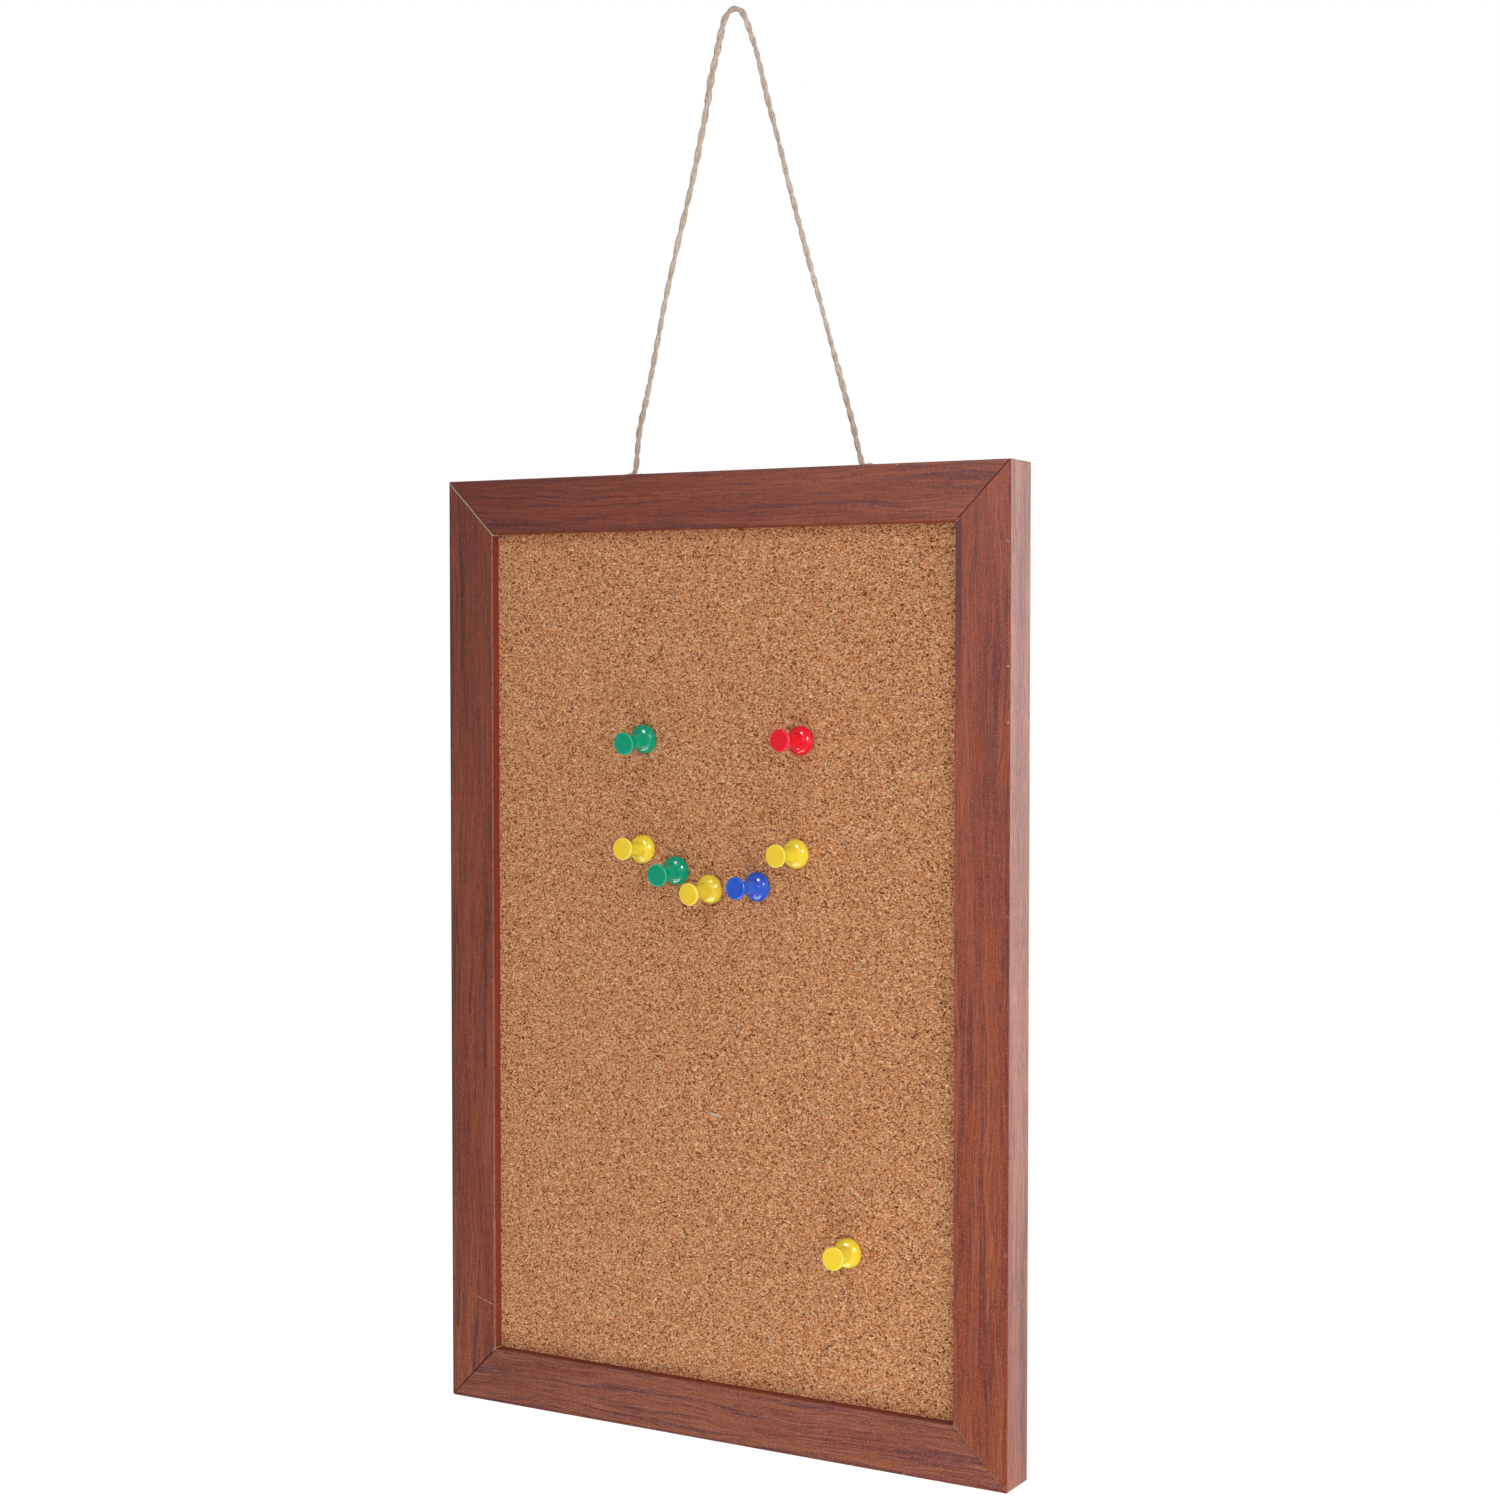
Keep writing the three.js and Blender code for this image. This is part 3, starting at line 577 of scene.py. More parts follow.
def laid_over(colour, *layers):
    """Lays further colours over one, each by its own share."""
    for share, upper in layers:
        colour = blend(share, colour, upper)
    return colour


def cloud(vector, scale, detail=2.0, roughness=0.5, distortion=0.0):
    """Soft noise from 0 to 1."""
    values = {"Vector": vector, "Scale": scale, "Detail": detail, "Roughness": roughness,
              "Distortion": distortion}
    return add_node("ShaderNodeTexNoise", values).outputs[0]


def kept_attribute(name, output="Fac"):
    return add_node("ShaderNodeAttribute", attribute_name=name).outputs[output]


def own_place():
    """An object's own coordinates, in millimetres."""
    coordinates = add_node("ShaderNodeTexCoord")
    return vector_calc("SCALE", {0: coordinates.outputs["Object"], "Scale": 1000.0})


def scaled(vector, x, y, z):
    return vector_calc("MULTIPLY", {0: vector, 1: (x, y, z)})


def relief(shader, height, depth_mm, strength=1.0):
    """Gives the shader a bump of that depth, from a height between 0 and 1."""
    bump = add_node("ShaderNodeBump", {"Height": height, "Distance": depth_mm * MM, "Strength": strength})
    set_inputs(shader, {"Normal": bump.outputs[0]})


def coat(piece, finish):
    """Gives a piece one finish, in place of any it had."""
    piece.data.materials.clear()
    piece.data.materials.append(finish)


print("a mid grey is", [round(x, 3) for x in paint(128, 128, 128)[:3]])

# %% [markdown]
# Jute is a dull tan with paler and browner fibres that run along each yarn. The noise is stretched
# along the yarn's length by reading the attribute kept above, so it follows every bend.

# %% Jute
jute, jute_shader = new_finish("jute", 0.92, specular=0.05)
yarn = kept_attribute("yarn_place", "Vector")
strand_shade = kept_attribute("paleness")
fibre_lines = cloud(scaled(yarn, 1.0, 1.0, 0.16), 4.5, 3.0, 0.6)
long_tone = cloud(scaled(yarn, 0.4, 0.4, 0.07), 2.0, 2.0)
jute_colour = laid_over(
    blend(stretch(long_tone, 0.3, 0.7), (188, 165, 146), (214, 194, 178)),
    (stretch(fibre_lines, 0.47, 0.33, 0.0, 0.8), (136, 108, 88)),
    (stretch(fibre_lines, 0.52, 0.68), (236, 220, 204)),
    # painted highlight: most loose strands are painted paler, as light falling full on them; some browner
    (stretch(strand_shade, 0.05, 1.0, 0.0, 0.9), (244, 232, 218)),
    (stretch(strand_shade, -0.05, -0.5, 0.0, 0.7), (160, 126, 98)),
)
set_inputs(jute_shader, {"Base Color": jute_colour, "Sheen Weight": 0.25, "Sheen Roughness": 0.6})
relief(jute_shader, fibre_lines, 0.12, 0.9)
for piece in (twine, fibres, strands):
    coat(piece, jute)
    print("jute on", piece.name)

# %% [markdown]
# New solid pieces are modelled with Blender's own tools. A turned piece, such as a pin, starts as a
# filled circle at the first point of its outline. Its face is then extruded and scaled ring by ring
# along the outline, as on a lathe. Sharp edges stay sharp because smoothing stops at an angle.

# %% Helpers for modelling
TURNED_SMOOTH_DEGREES = 35


def start_clean():
    """Leaves object mode with nothing selected, so that an operator acts only on the new piece."""
    if bpy.context.mode != "OBJECT":
        bpy.ops.object.mode_set(mode="OBJECT")
    bpy.ops.object.select_all(action="DESELECT")


def work_alone(piece):
    """Makes one piece the only one that an operator acts on."""
    start_clean()
    piece.select_set(True)
    bpy.context.view_layer.objects.active = piece


def filled_circle(name, sides, radius, location):
    """A new filled circle, open for editing."""
    start_clean()
    bpy.ops.mesh.primitive_circle_add(vertices=sides, radius=radius, fill_type="NGON", location=location)
    piece = bpy.context.object
    piece.name = name
    piece.data.name = name
    bpy.ops.object.transform_apply(location=True, rotation=True, scale=True)
    bpy.ops.object.mode_set(mode="EDIT")
    bpy.ops.mesh.select_all(action="SELECT")
    return piece


def merge_close(distance):
    bpy.ops.mesh.select_all(action="SELECT")
    bpy.ops.mesh.remove_doubles(threshold=distance)


def close_editing(smooth_degrees):
    """Turns all faces outwards, ends editing, and shades smooth up to an angle between faces."""
    bpy.ops.mesh.select_all(action="SELECT")
    bpy.ops.mesh.normals_make_consistent(inside=False)
    bpy.ops.object.mode_set(mode="OBJECT")
    bpy.ops.object.shade_smooth_by_angle(angle=math.radians(smooth_degrees))


def turned_piece(name, outline_mm, sides, pointed=False):
    """Extrudes a filled circle along an outline of radius and height, in millimetres."""
    radius, height = outline_mm[0]
    piece = filled_circle(name, sides, radius * MM, (0, 0, height * MM))
    for next_radius, next_height in outline_mm[1:]:
        rise = (0, 0, (next_height - height) * MM)
        bpy.ops.mesh.extrude_region_move(TRANSFORM_OT_translate={"value": rise})
        ratio = next_radius / radius
        bpy.ops.transform.resize(value=(ratio, ratio, 1))
        radius, height = next_radius, next_height
    if pointed:
        bpy.ops.mesh.merge(type="COLLAPSE")
    close_editing(TURNED_SMOOTH_DEGREES)
    return piece


def curve_steps(start, pull, end, count):
    """Points of an outline's curve after its start: a parabola pulled towards one point."""
    points = []
    for i in range(1, count + 1):
        t = i / count
        radius = (1 - t) ** 2 * start[0] + 2 * t * (1 - t) * pull[0] + t * t * end[0]
        height = (1 - t) ** 2 * start[1] + 2 * t * (1 - t) * pull[1] + t * t * end[1]
        points.append((radius, height))
    return points


def placed_copy(piece, name, matrix):
    """A copy with its own mesh, moved in the mesh so that the object stays at the origin."""
    copy = piece.copy()
    copy.data = piece.data.copy()
    copy.name = name
    copy.data.name = name
    copy.data.transform(matrix)
    copy.data.update()
    bpy.context.scene.collection.objects.link(copy)
    return copy


print("helpers ready")

# %% [markdown]
# A push pin has a moulded body with a domed flange, a waisted stem for the fingers and a flat cap, and
# a steel needle pressed into a bore from below. The cap's top is dished by a tenth of a millimetre
# inside a fine rim, which catches the light as the real one does. One body and one needle are made,
# and each of the eight pins is a copy set square to its own slightly leaning axis.

# %% Pin body and needle
PIN_SIDES = 40
NEEDLE_SIDES = 20
body_outline = [(0.7, 6.1), (0.7, 0.25), (0.92, 0.0), (3.95, 0.0)]
body_outline += curve_steps((3.95, 0.0), (4.5, 0.0), (4.5, 0.42), 4)
body_outline += [(4.5, 0.78)]
body_outline += curve_steps((4.5, 0.78), (4.5, 0.98), (4.38, 1.12), 3)
body_outline += curve_steps((4.38, 1.12), (3.95, 2.3), (2.95, 2.66), 8)
body_outline += curve_steps((2.95, 2.66), (2.55, 2.74), (2.42, 3.05), 4)
body_outline += curve_steps((2.42, 3.05), (2.0, 4.9), (1.95, 7.2), 6)
body_outline += curve_steps((1.95, 7.2), (2.0, 9.2), (3.05, 10.75), 7)
body_outline += curve_steps((3.05, 10.75), (3.42, 10.95), (3.5, 11.3), 3)
body_outline += [(3.5, 11.62)]
body_outline += curve_steps((3.5, 11.62), (3.5, 12.0), (3.16, 12.0), 4)
body_outline += curve_steps((3.16, 12.0), (3.02, 12.0), (2.9, 11.93), 2)
body_outline += [(2.6, 11.9), (1.4, 11.88), (0.4, 11.88)]
pin_master = turned_piece("pin_master", body_outline, PIN_SIDES)
needle_outline = [(0.45, 5.75), (0.55, 5.6), (0.55, -5.8), (0.47, -6.3), (0.02, -8.0)]
needle_master = turned_piece("needle_master", needle_outline, NEEDLE_SIDES, pointed=True)
print("pin body:", len(pin_master.data.polygons), "faces; needle:", len(needle_master.data.polygons))

# %% How thick the plastic is at each point, which places the painted glow and the lighter stem
CAP_FROM = 11.2
RIM_FROM = 2.8
FLANGE_TOP = 1.3
DOME_TOP = 2.7
STEM_MIDDLE = 6.0
FLANGE_THINNESS = 0.55
thinness = []
for corner in pin_master.data.vertices:
    radius = math.hypot(corner.co.x, corner.co.y) / MM
    height = corner.co.z / MM
    if height > CAP_FROM:
        thinness.append(max(0.0, min(1.0, (radius - RIM_FROM) / 0.5)))
    elif height < DOME_TOP:
        thinness.append(FLANGE_THINNESS - max(0.0, height - FLANGE_TOP) * 0.6)
    else:
        thinness.append(-0.55 + 0.45 * abs(height - STEM_MIDDLE) / 5)
thin_layer = pin_master.data.attributes.new("thinness", "FLOAT", "POINT")
thin_layer.data.foreach_set("value", thinness)
print("thinness from", round(min(thinness), 2), "to", round(max(thinness), 2))

# %% Where each pin stands
PLACES = [
    (-0.317, 0.51, -1.5, -5.8, "green"),
    (0.363, 0.512, -4.6, 2.0, "red"),
    (-0.324, 0.248, -1.4, 3.8, "yellow"),
    (-0.176, 0.202, 0.6, -3.7, "green"),
    (-0.024, 0.163, -4.3, -4.5, "yellow"),
    (0.182, 0.173, -6.4, 1.6, "blue"),
    (0.344, 0.253, -4.0, 0.4, "yellow"),
    (0.559, -0.652, 5.6, 3.6, "yellow"),
]
FLANGE_RADIUS = 4.5 * MM
SEAT_GAP = 0.2 * MM
pin_pieces = {}
for number, (right_share, up_share, lean_right, lean_up, colour) in enumerate(PLACES, 1):
    right = math.sin(math.radians(lean_right))
    up = math.sin(math.radians(lean_up))
    tilt = math.hypot(right, up)
    axis = Vector((right, -math.sqrt(1 - tilt * tilt), up))
    foot = Vector((
        right_share * (BOARD_WIDTH / 2 - RAIL_WIDTH),
        CORK_FACE,
        BOARD_MIDDLE + up_share * (BOARD_HEIGHT / 2 - RAIL_WIDTH),
    ))
    foot += axis * (FLANGE_RADIUS * tilt + SEAT_GAP)
    matrix = Matrix.Translation(foot) @ Vector((0, 0, 1)).rotation_difference(axis).to_matrix().to_4x4()
    body = placed_copy(pin_master, f"push_pin_{number}", matrix)
    needle = placed_copy(needle_master, f"push_pin_{number}_needle", matrix)
    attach(body, f"pin_{number}")
    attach(needle, f"pin_{number}")
    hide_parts(f"pin_{number}_body")
    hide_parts(f"pin_{number}_needle")
    pin_pieces[number] = (body, needle, colour)
bpy.data.objects.remove(pin_master)
bpy.data.objects.remove(needle_master)
print(len(pin_pieces), "pins placed")

# %% [markdown]
# The pins are moulded from glossy, slightly cloudy plastic, and light goes a little way into it. Thin
# edges are painted a lighter colour as their glow, and the stem is painted lighter than its shade would
# leave it. A faint unevenness keeps the gloss from looking like glass, and fine scuffs roughen it.

# %% Moulded plastic
def moulded_plastic(name, colour, lit_stem_colour, glow_edge_colour):
    """Gloss plastic with painted light: a lighter stem against its shade, and a painted glow at thin edges.
    """
    finish, shader = new_finish(name, 0.1, specular=0.16)
    place = own_place()
    swirl = calc("MULTIPLY_ADD", cloud(place, 0.4, 2.0, 0.5, 0.6), 0.35, -0.175)
    thin = calc("ADD", kept_attribute("thinness"), swirl)
    # painted light: the thick stem is painted lighter than its shade
    base_with_lit_stem = blend(stretch(thin, -1.0, 0.0), lit_stem_colour, colour)
    scuffs = cloud(scaled(place, 1.0, 1.0, 3.5), 1.8, 4.0, 0.6)
    set_inputs(shader, {
        # painted glow: a lighter colour at the cap's thin rim and on the flange
        "Base Color": blend(stretch(thin, 0.2, 1.0), base_with_lit_stem, glow_edge_colour),
        "Roughness": stretch(scuffs, 0.45, 0.8, 0.11, 0.15),
        "IOR": 1.5,
        "Subsurface Weight": 1.0,
        "Subsurface Radius": (1.0, 1.0, 1.0),
        "Subsurface Scale": 2.4 * MM,
    })
    relief(shader, cloud(place, 0.9, 2.0), 0.01, 0.3)
    return finish


# Each colour: the plain one, a lighter one painted on the stem against its shade, and the painted glow of
# thin edges.
PLASTICS = {
    "green": ((0, 157, 119), (6, 184, 145), (10, 172, 133)),
    "red": ((231, 22, 42), (255, 34, 50), (244, 56, 72)),
    "yellow": ((255, 213, 60), (255, 226, 66), (255, 222, 90)),
    "blue": ((40, 94, 206), (74, 122, 232), (50, 108, 220)),
}
plastics = {name: moulded_plastic(f"plastic_{name}", *colours) for name, colours in PLASTICS.items()}
for body, needle, colour in pin_pieces.values():
    coat(body, plastics[colour])
print("plastics:", sorted(plastics))

# %% [markdown]
# The needles, screw eyes, framer's points and V-nails are steel. The bright zinc on it is not quite
# even, so the roughness wanders, and fine drawn lines run round the wire.

# %% Bright steel
def bright_steel(name, colour, dull_colour, low_roughness, high_roughness):
    finish, shader = new_finish(name, low_roughness, metallic=1.0)
    place = own_place()
    patches = cloud(place, 0.35, 4.0, 0.6)
    grain = cloud(scaled(place, 1.0, 6.0, 1.0), 2.2, 3.0)
    set_inputs(shader, {
        "Base Color": blend(stretch(patches, 0.35, 0.7), colour, dull_colour),
        "Roughness": stretch(grain, 0.3, 0.7, low_roughness, high_roughness),
    })
    relief(shader, grain, 0.02, 0.35)
    return finish


needle_steel = bright_steel("needle_steel", (206, 207, 210), (186, 187, 190), 0.16, 0.3)
wire_steel = bright_steel("zinc_wire", (200, 201, 205), (170, 171, 174), 0.22, 0.42)
strip_steel = bright_steel("strip_steel", (176, 176, 178), (138, 136, 134), 0.32, 0.52)
for body, needle, colour in pin_pieces.values():
    coat(needle, needle_steel)
print("steel finishes: 3")

# %% [markdown]
# A screw eye is one bent wire: a ring that closes on its own neck with a small gap, and a shank with a
# coarse wood-screw thread. The ring is a circle swept round by the spin tool and capped at its end, and
# the thread is one notch of its outline turned and raised together by a screw modifier.

# %% Screw eye
WIRE_SIDES = 20
WIRE_SMOOTH_DEGREES = 40
RING_STEPS = 56
RING_DEGREES = 336
NECK_SIDES = 24
THREAD_PITCH = 1.1
SHANK_TURNS = 9
THREAD_NOTCH = [(0.74, 0.0), (0.76, 0.28), (0.95, 0.5), (0.95, 0.58), (0.76, 0.82), (0.74, THREAD_PITCH)]
SHANK_END = -16.0
TIP_LENGTH = 0.9
MERGE_DISTANCE = 0.01 * MM


def wire_ring():
    ring = filled_circle("wire_ring", WIRE_SIDES, EYE_WIRE_RADIUS, (0, -EYE_RING_RADIUS, 0))
    arc = math.radians(RING_DEGREES)
    bpy.ops.mesh.spin(steps=RING_STEPS, angle=arc, center=(0, 0, 0), axis=(1, 0, 0))
    merge_close(MERGE_DISTANCE)
    close_editing(WIRE_SMOOTH_DEGREES)
    return ring


def threaded_shank():
    mesh = bpy.data.meshes.new("thread")
    notch = [(radius * MM, 0, height * MM) for radius, height in THREAD_NOTCH]
    mesh.from_pydata(notch, [(i, i + 1) for i in range(len(notch) - 1)], [])
    thread = add_object("thread", mesh)
    work_alone(thread)
    screw = thread.modifiers.new("thread", "SCREW")
    screw.screw_offset = THREAD_PITCH * MM
    screw.iterations = SHANK_TURNS
    screw.steps = WIRE_SIDES
    screw.render_steps = WIRE_SIDES
    bpy.ops.object.modifier_apply(modifier=screw.name)
    bpy.ops.object.mode_set(mode="EDIT")
    merge_close(MERGE_DISTANCE)
    bpy.ops.mesh.select_all(action="DESELECT")
    bpy.ops.mesh.select_mode(type="VERT")
    bpy.ops.mesh.select_non_manifold()
    bpy.ops.mesh.fill_holes(sides=0)
    close_editing(WIRE_SMOOTH_DEGREES)
    return thread


ring = wire_ring()
neck_outline = [(0.62, -6.6), (0.92, -6.2), (1.06, -5.6), (1.12, -5.0)]
neck_outline += [(1.02, -4.4), (0.84, -3.7), (0.7, -3.2)]
neck = turned_piece("neck", neck_outline, NECK_SIDES)
thread = threaded_shank()
thread.data.transform(Matrix.Translation((0, 0, (SHANK_END + TIP_LENGTH) * MM)))
tip_outline = [(0.74, -14.2), (0.6, -14.8), (0.3, -15.6), (0.02, SHANK_END)]
tip = turned_piece("tip", tip_outline, WIRE_SIDES, pointed=True)
for part in (neck, thread, tip):
    part.data.transform(Matrix.Rotation(math.radians(-90), 4, "X"))
work_alone(ring)
for part in (neck, thread, tip):
    part.select_set(True)
bpy.ops.object.join()
eye_master = bpy.context.object
for axis, name in enumerate(("x", "y", "z")):
    reach = [corner.co[axis] / MM for corner in eye_master.data.vertices]
    print("screw eye in", name, "from", round(min(reach), 2), "to", round(max(reach), 2), "mm")

# %% Both screw eyes in their places
for side_name, hand in (("left", -1), ("right", 1)):
    matrix = Matrix.Translation((hand * EYE_SPAN / 2, EYE_DEPTH, EYE_HEIGHT))
    eye = placed_copy(eye_master, f"{side_name}_wire_eye", matrix)
    coat(eye, wire_steel)
    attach(eye, "board")
    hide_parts(f"{side_name}_screw_eye")
bpy.data.objects.remove(eye_master)
cad_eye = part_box("left_screw_eye")
print("CAD eye from", [round(x / MM, 1) for x in cad_eye[0]], "to", [round(x / MM, 1) for x in cad_eye[1]])

# %% [markdown]
# The rails are fibreboard wrapped in a printed foil that imitates reddish-brown wood. The foil covers
# the front, the outer side and the lip, and ends a little way round the back edge. Its print is drawn
# out along the rail, so each rail gets its own three measures in millimetres: along it, in from its
# outer edge, and back from its front. The four rails were cut from different places of a long
# moulding, so each has its own shift along the print. Each also has its own tint at its two ends,
# which is painted sheen and painted fall of light: one rail, or one end of it, is paler or darker.

# %% Rail measures
def rail_sides(along, inwards):
    """A rail's two directions, where its measures start, and half its length, in millimetres."""
    size = Vector((BOARD_WIDTH, 0, BOARD_HEIGHT)) / MM
    centre = Vector((0, 0, BOARD_MIDDLE)) / MM
    return {
        "along": along,
        "inwards": inwards,
        "along_start": centre.dot(Vector(along)),
        "outer": centre.dot(Vector(inwards)) - abs(size.dot(Vector(inwards))) / 2,
        "half": abs(size.dot(Vector(along))) / 2,
    }


# In each rail's settings, the tints at its two ends paint sheen and the fall of light,
# paints a highlight, and the lip wall's colour paints the shade of the recess.
# the tint over the outer edge paints that edge's shade, the strength of the pale lip line
RAILS = {
    "top": rail_sides((1, 0, 0), (0, 0, -1)) | {
        "shift": 37.0, "pale": (0.15, 0.0), "joint": (0.5, 0.0), "edge_shade_tint": (0.85, 0.8, 0.95),
        "tone": ((0.53, 0.49, 0.52), (0.95, 1.07, 1.12)), "lip_highlight": 0.06, "lip_wall_shade": (150, 62, 40),
    },
    "right": rail_sides((0, 0, -1), (-1, 0, 0)) | {
        "shift": 215.0, "pale": (0.0, 0.04), "joint": (0.0, 0.1), "edge_shade_tint": (0.8, 0.6, 0.6),
        "tone": ((0.98, 1.05, 1.08), (1.03, 1.24, 1.16)), "lip_highlight": 0.05, "lip_wall_shade": (150, 62, 40),
    },
    "bottom": rail_sides((-1, 0, 0), (0, 0, 1)) | {
        "shift": 402.0, "pale": (0.04, 0.0), "joint": (0.1, 0.8), "edge_shade_tint": (0.7, 0.6, 0.7),
        "tone": ((1.0, 1.5, 1.8), (0.82, 1.3, 1.7)), "lip_highlight": 0.06, "lip_wall_shade": (104, 34, 22),
    },
    "left": rail_sides((0, 0, 1), (1, 0, 0)) | {
        "shift": 655.0, "pale": (0.0, 0.17), "joint": (0.8, 0.5), "edge_shade_tint": (0.5, 0.5, 0.6),
        "tone": ((0.88, 1.16, 1.27), (0.61, 0.6, 0.6)), "lip_highlight": 0.24, "lip_wall_shade": (142, 60, 40),
    },
}


def measure(place, direction, start):
    """Distance in millimetres along a direction from a start value."""
    dot = add_node("ShaderNodeVectorMath", {0: place, 1: direction}, operation="DOT_PRODUCT")
    return calc("SUBTRACT", dot.outputs["Value"], start)


def combine(x, y, z):
    return add_node("ShaderNodeCombineXYZ", {0: x, 1: y, 2: z}).outputs[0]


def rail_measures(settings):
    """A rail's measures as sockets; bent is inwards, bent as the print's lines are."""
    place = own_place()
    along = measure(place, settings["along"], settings["along_start"])
    inwards = measure(place, settings["inwards"], settings["outer"])
    moved = calc("ADD", along, settings["shift"])
    slow_place = combine(times(moved, 0.014), times(inwards, 0.06), 0.0)
    return {
        "place": place,
        "along": along,
        "inwards": inwards,
        "depth": measure(place, (0, 1, 0), FRONT / MM),
        "moved": moved,
        "bent": calc("MULTIPLY_ADD", cloud(slow_place, 1.0, 2.0), 9.0, inwards),
    }


print("rails:", ", ".join(RAILS))

# %% [markdown]
# A rail is a length of moulding with a flat front, a square lip that stands 3.5 mm over the cork, and a
# rebate behind it for the sheets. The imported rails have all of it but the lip's inner wall: there the
# lip closes on a slant from its front edge to the rebate. So each rail is a merged copy of the packed
# one, mended: the slanted face is cut along its middle, and the new edge goes out to the square corner
# of the lip. The back edge is drawn in to a smaller round, and the mitres close to a fine line.

# %% Rails with a square lip
LIP_DEPTH = (CORK_FACE - FRONT) / MM
LIP_SLANT = 0.46
LIP_CUT = 3.0
CAD_BACK_ROUND = 2.0
BACK_ROUND_SHARE = 0.4
CAD_MITRE_SETBACK = 0.212
MITRE_SETBACK = 0.005
MEASURE_SLACK = 0.02
MERGE_SLACK = 0.005 * MM
FLAT_DEGREES = 0.5


def rail_place(corner, settings):
    """A corner's millimetres along its rail, inwards from the outer edge, and behind the front."""
    place = corner.co / MM
    along = place.dot(Vector(settings["along"])) - settings["along_start"]
    inwards = place.dot(Vector(settings["inwards"])) - settings["outer"]
    return along, inwards, place.y - FRONT / MM


def put_in_rail(corner, settings, along, inwards, depth):
    """Puts a corner at a place given as rail_place gives it."""
    was_along, was_inwards, was_depth = rail_place(corner, settings)
    step = Vector(settings["along"]) * (along - was_along)
    step += Vector(settings["inwards"]) * (inwards - was_inwards)
    corner.co += (step + Vector((0, depth - was_depth, 0))) * MM


def merged_rail(name, node):
    """A copy of a packed rail with its triangles merged into clean faces."""
    rail = add_object(name, node.data.copy())
    work_alone(rail)
    bpy.ops.object.mode_set(mode="EDIT")
    merge_close(MERGE_SLACK)
    bpy.ops.mesh.dissolve_limited(angle_limit=math.radians(FLAT_DEGREES))
    bpy.ops.mesh.select_all(action="DESELECT")
    bpy.ops.object.mode_set(mode="OBJECT")
    return rail


def cut_slant(rail, settings):
    """Cuts the lip's slanted face along its middle; returns how far inwards the cut is."""
    inwards_way = Vector(settings["inwards"])
    slants = 0
    for face in rail.data.polygons:
        face.select = face.normal.y > 0.8 and abs(face.normal.dot(inwards_way) - LIP_SLANT) < 0.05
        slants += face.select
    cut_at = RAIL_WIDTH / MM - LIP_CUT
    cut_point = inwards_way * (settings["outer"] + cut_at) * MM
    bpy.ops.object.mode_set(mode="EDIT")
    bpy.ops.mesh.select_mode(type="FACE")
    bpy.ops.mesh.bisect(plane_co=cut_point, plane_no=inwards_way)
    bpy.ops.object.mode_set(mode="OBJECT")
    print(rail.name, "has", slants, "slanted face, cut", round(cut_at, 1), "mm inwards")
    return cut_at


def square_lip(rail, settings, cut_at):
    """Moves the cut to the lip's square corner, draws in the back edge and closes the mitres."""
    lip = RAIL_WIDTH / MM
    thickness = (board_high.y - board_low.y) / MM
    round_reach = CAD_BACK_ROUND + MEASURE_SLACK
    moved = 0
    for corner in rail.data.vertices:
        along, inwards, depth = rail_place(corner, settings)
        hand = math.copysign(1, along)
        if abs(inwards - cut_at) < MEASURE_SLACK and depth < LIP_DEPTH - 1:
            along -= hand * (lip - inwards)
            inwards, depth = lip, LIP_DEPTH
            moved += 1
        from_mitre = settings["half"] - abs(along) - inwards
        if abs(from_mitre - CAD_MITRE_SETBACK) < MEASURE_SLACK:
            along += hand * (CAD_MITRE_SETBACK - MITRE_SETBACK)
        if inwards < round_reach and thickness - depth < round_reach:
            along += hand * inwards * (1 - BACK_ROUND_SHARE)
            inwards *= BACK_ROUND_SHARE
            depth = thickness - (thickness - depth) * BACK_ROUND_SHARE
        put_in_rail(corner, settings, along, inwards, depth)
    rail.data.update()
    return moved


rail_pieces = {}
for rail_name, settings in RAILS.items():
    node = frame["nodes"][f"frame_{rail_name}_rail"]
    rail = merged_rail(f"{rail_name}_moulding", node)
    moved = square_lip(rail, settings, cut_slant(rail, settings))
    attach(rail, "board")
    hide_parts(node.name)
    rail_pieces[rail_name] = rail
    print(rail.name, "has", len(rail.data.polygons), "faces and", moved, "corners at its lip")

# %% [markdown]
# The print is laid in six steps, from broad to fine: a soft change of tone, purplish-dark figure a few
# centimetres long, thin streaks, finer lines, short dark pores and a speckle. All but the speckle are
# noise stretched along the rail. Streaks and lines are pale as well as dark, as the growth of the
# copied wood is.

# %% The foil's print
def drawn_out_place(rail, along_rate, across_rate):
    """A place on the print, for patterns stretched along it; the rates are patches per millimetre."""
    across = times(rail["bent"], across_rate)
    return combine(times(rail["moved"], along_rate), across, times(rail["depth"], across_rate))


def drawn_out(rail, along_rate, across_rate, detail, roughness, distortion=0.0):
    return cloud(drawn_out_place(rail, along_rate, across_rate), 1.0, detail, roughness, distortion)


def short_pores(rail):
    """Short dark dashes along the rail, in some of the cells of a stretched pattern."""
    dashes = add_node("ShaderNodeTexVoronoi", {"Vector": drawn_out_place(rail, 0.16, 2.2), "Scale": 1.0})
    chance = add_node("ShaderNodeSeparateColor", {0: dashes.outputs["Color"]}).outputs[0]
    return times(stretch(dashes.outputs["Distance"], 0.42, 0.2), stretch(chance, 0.5, 0.65))


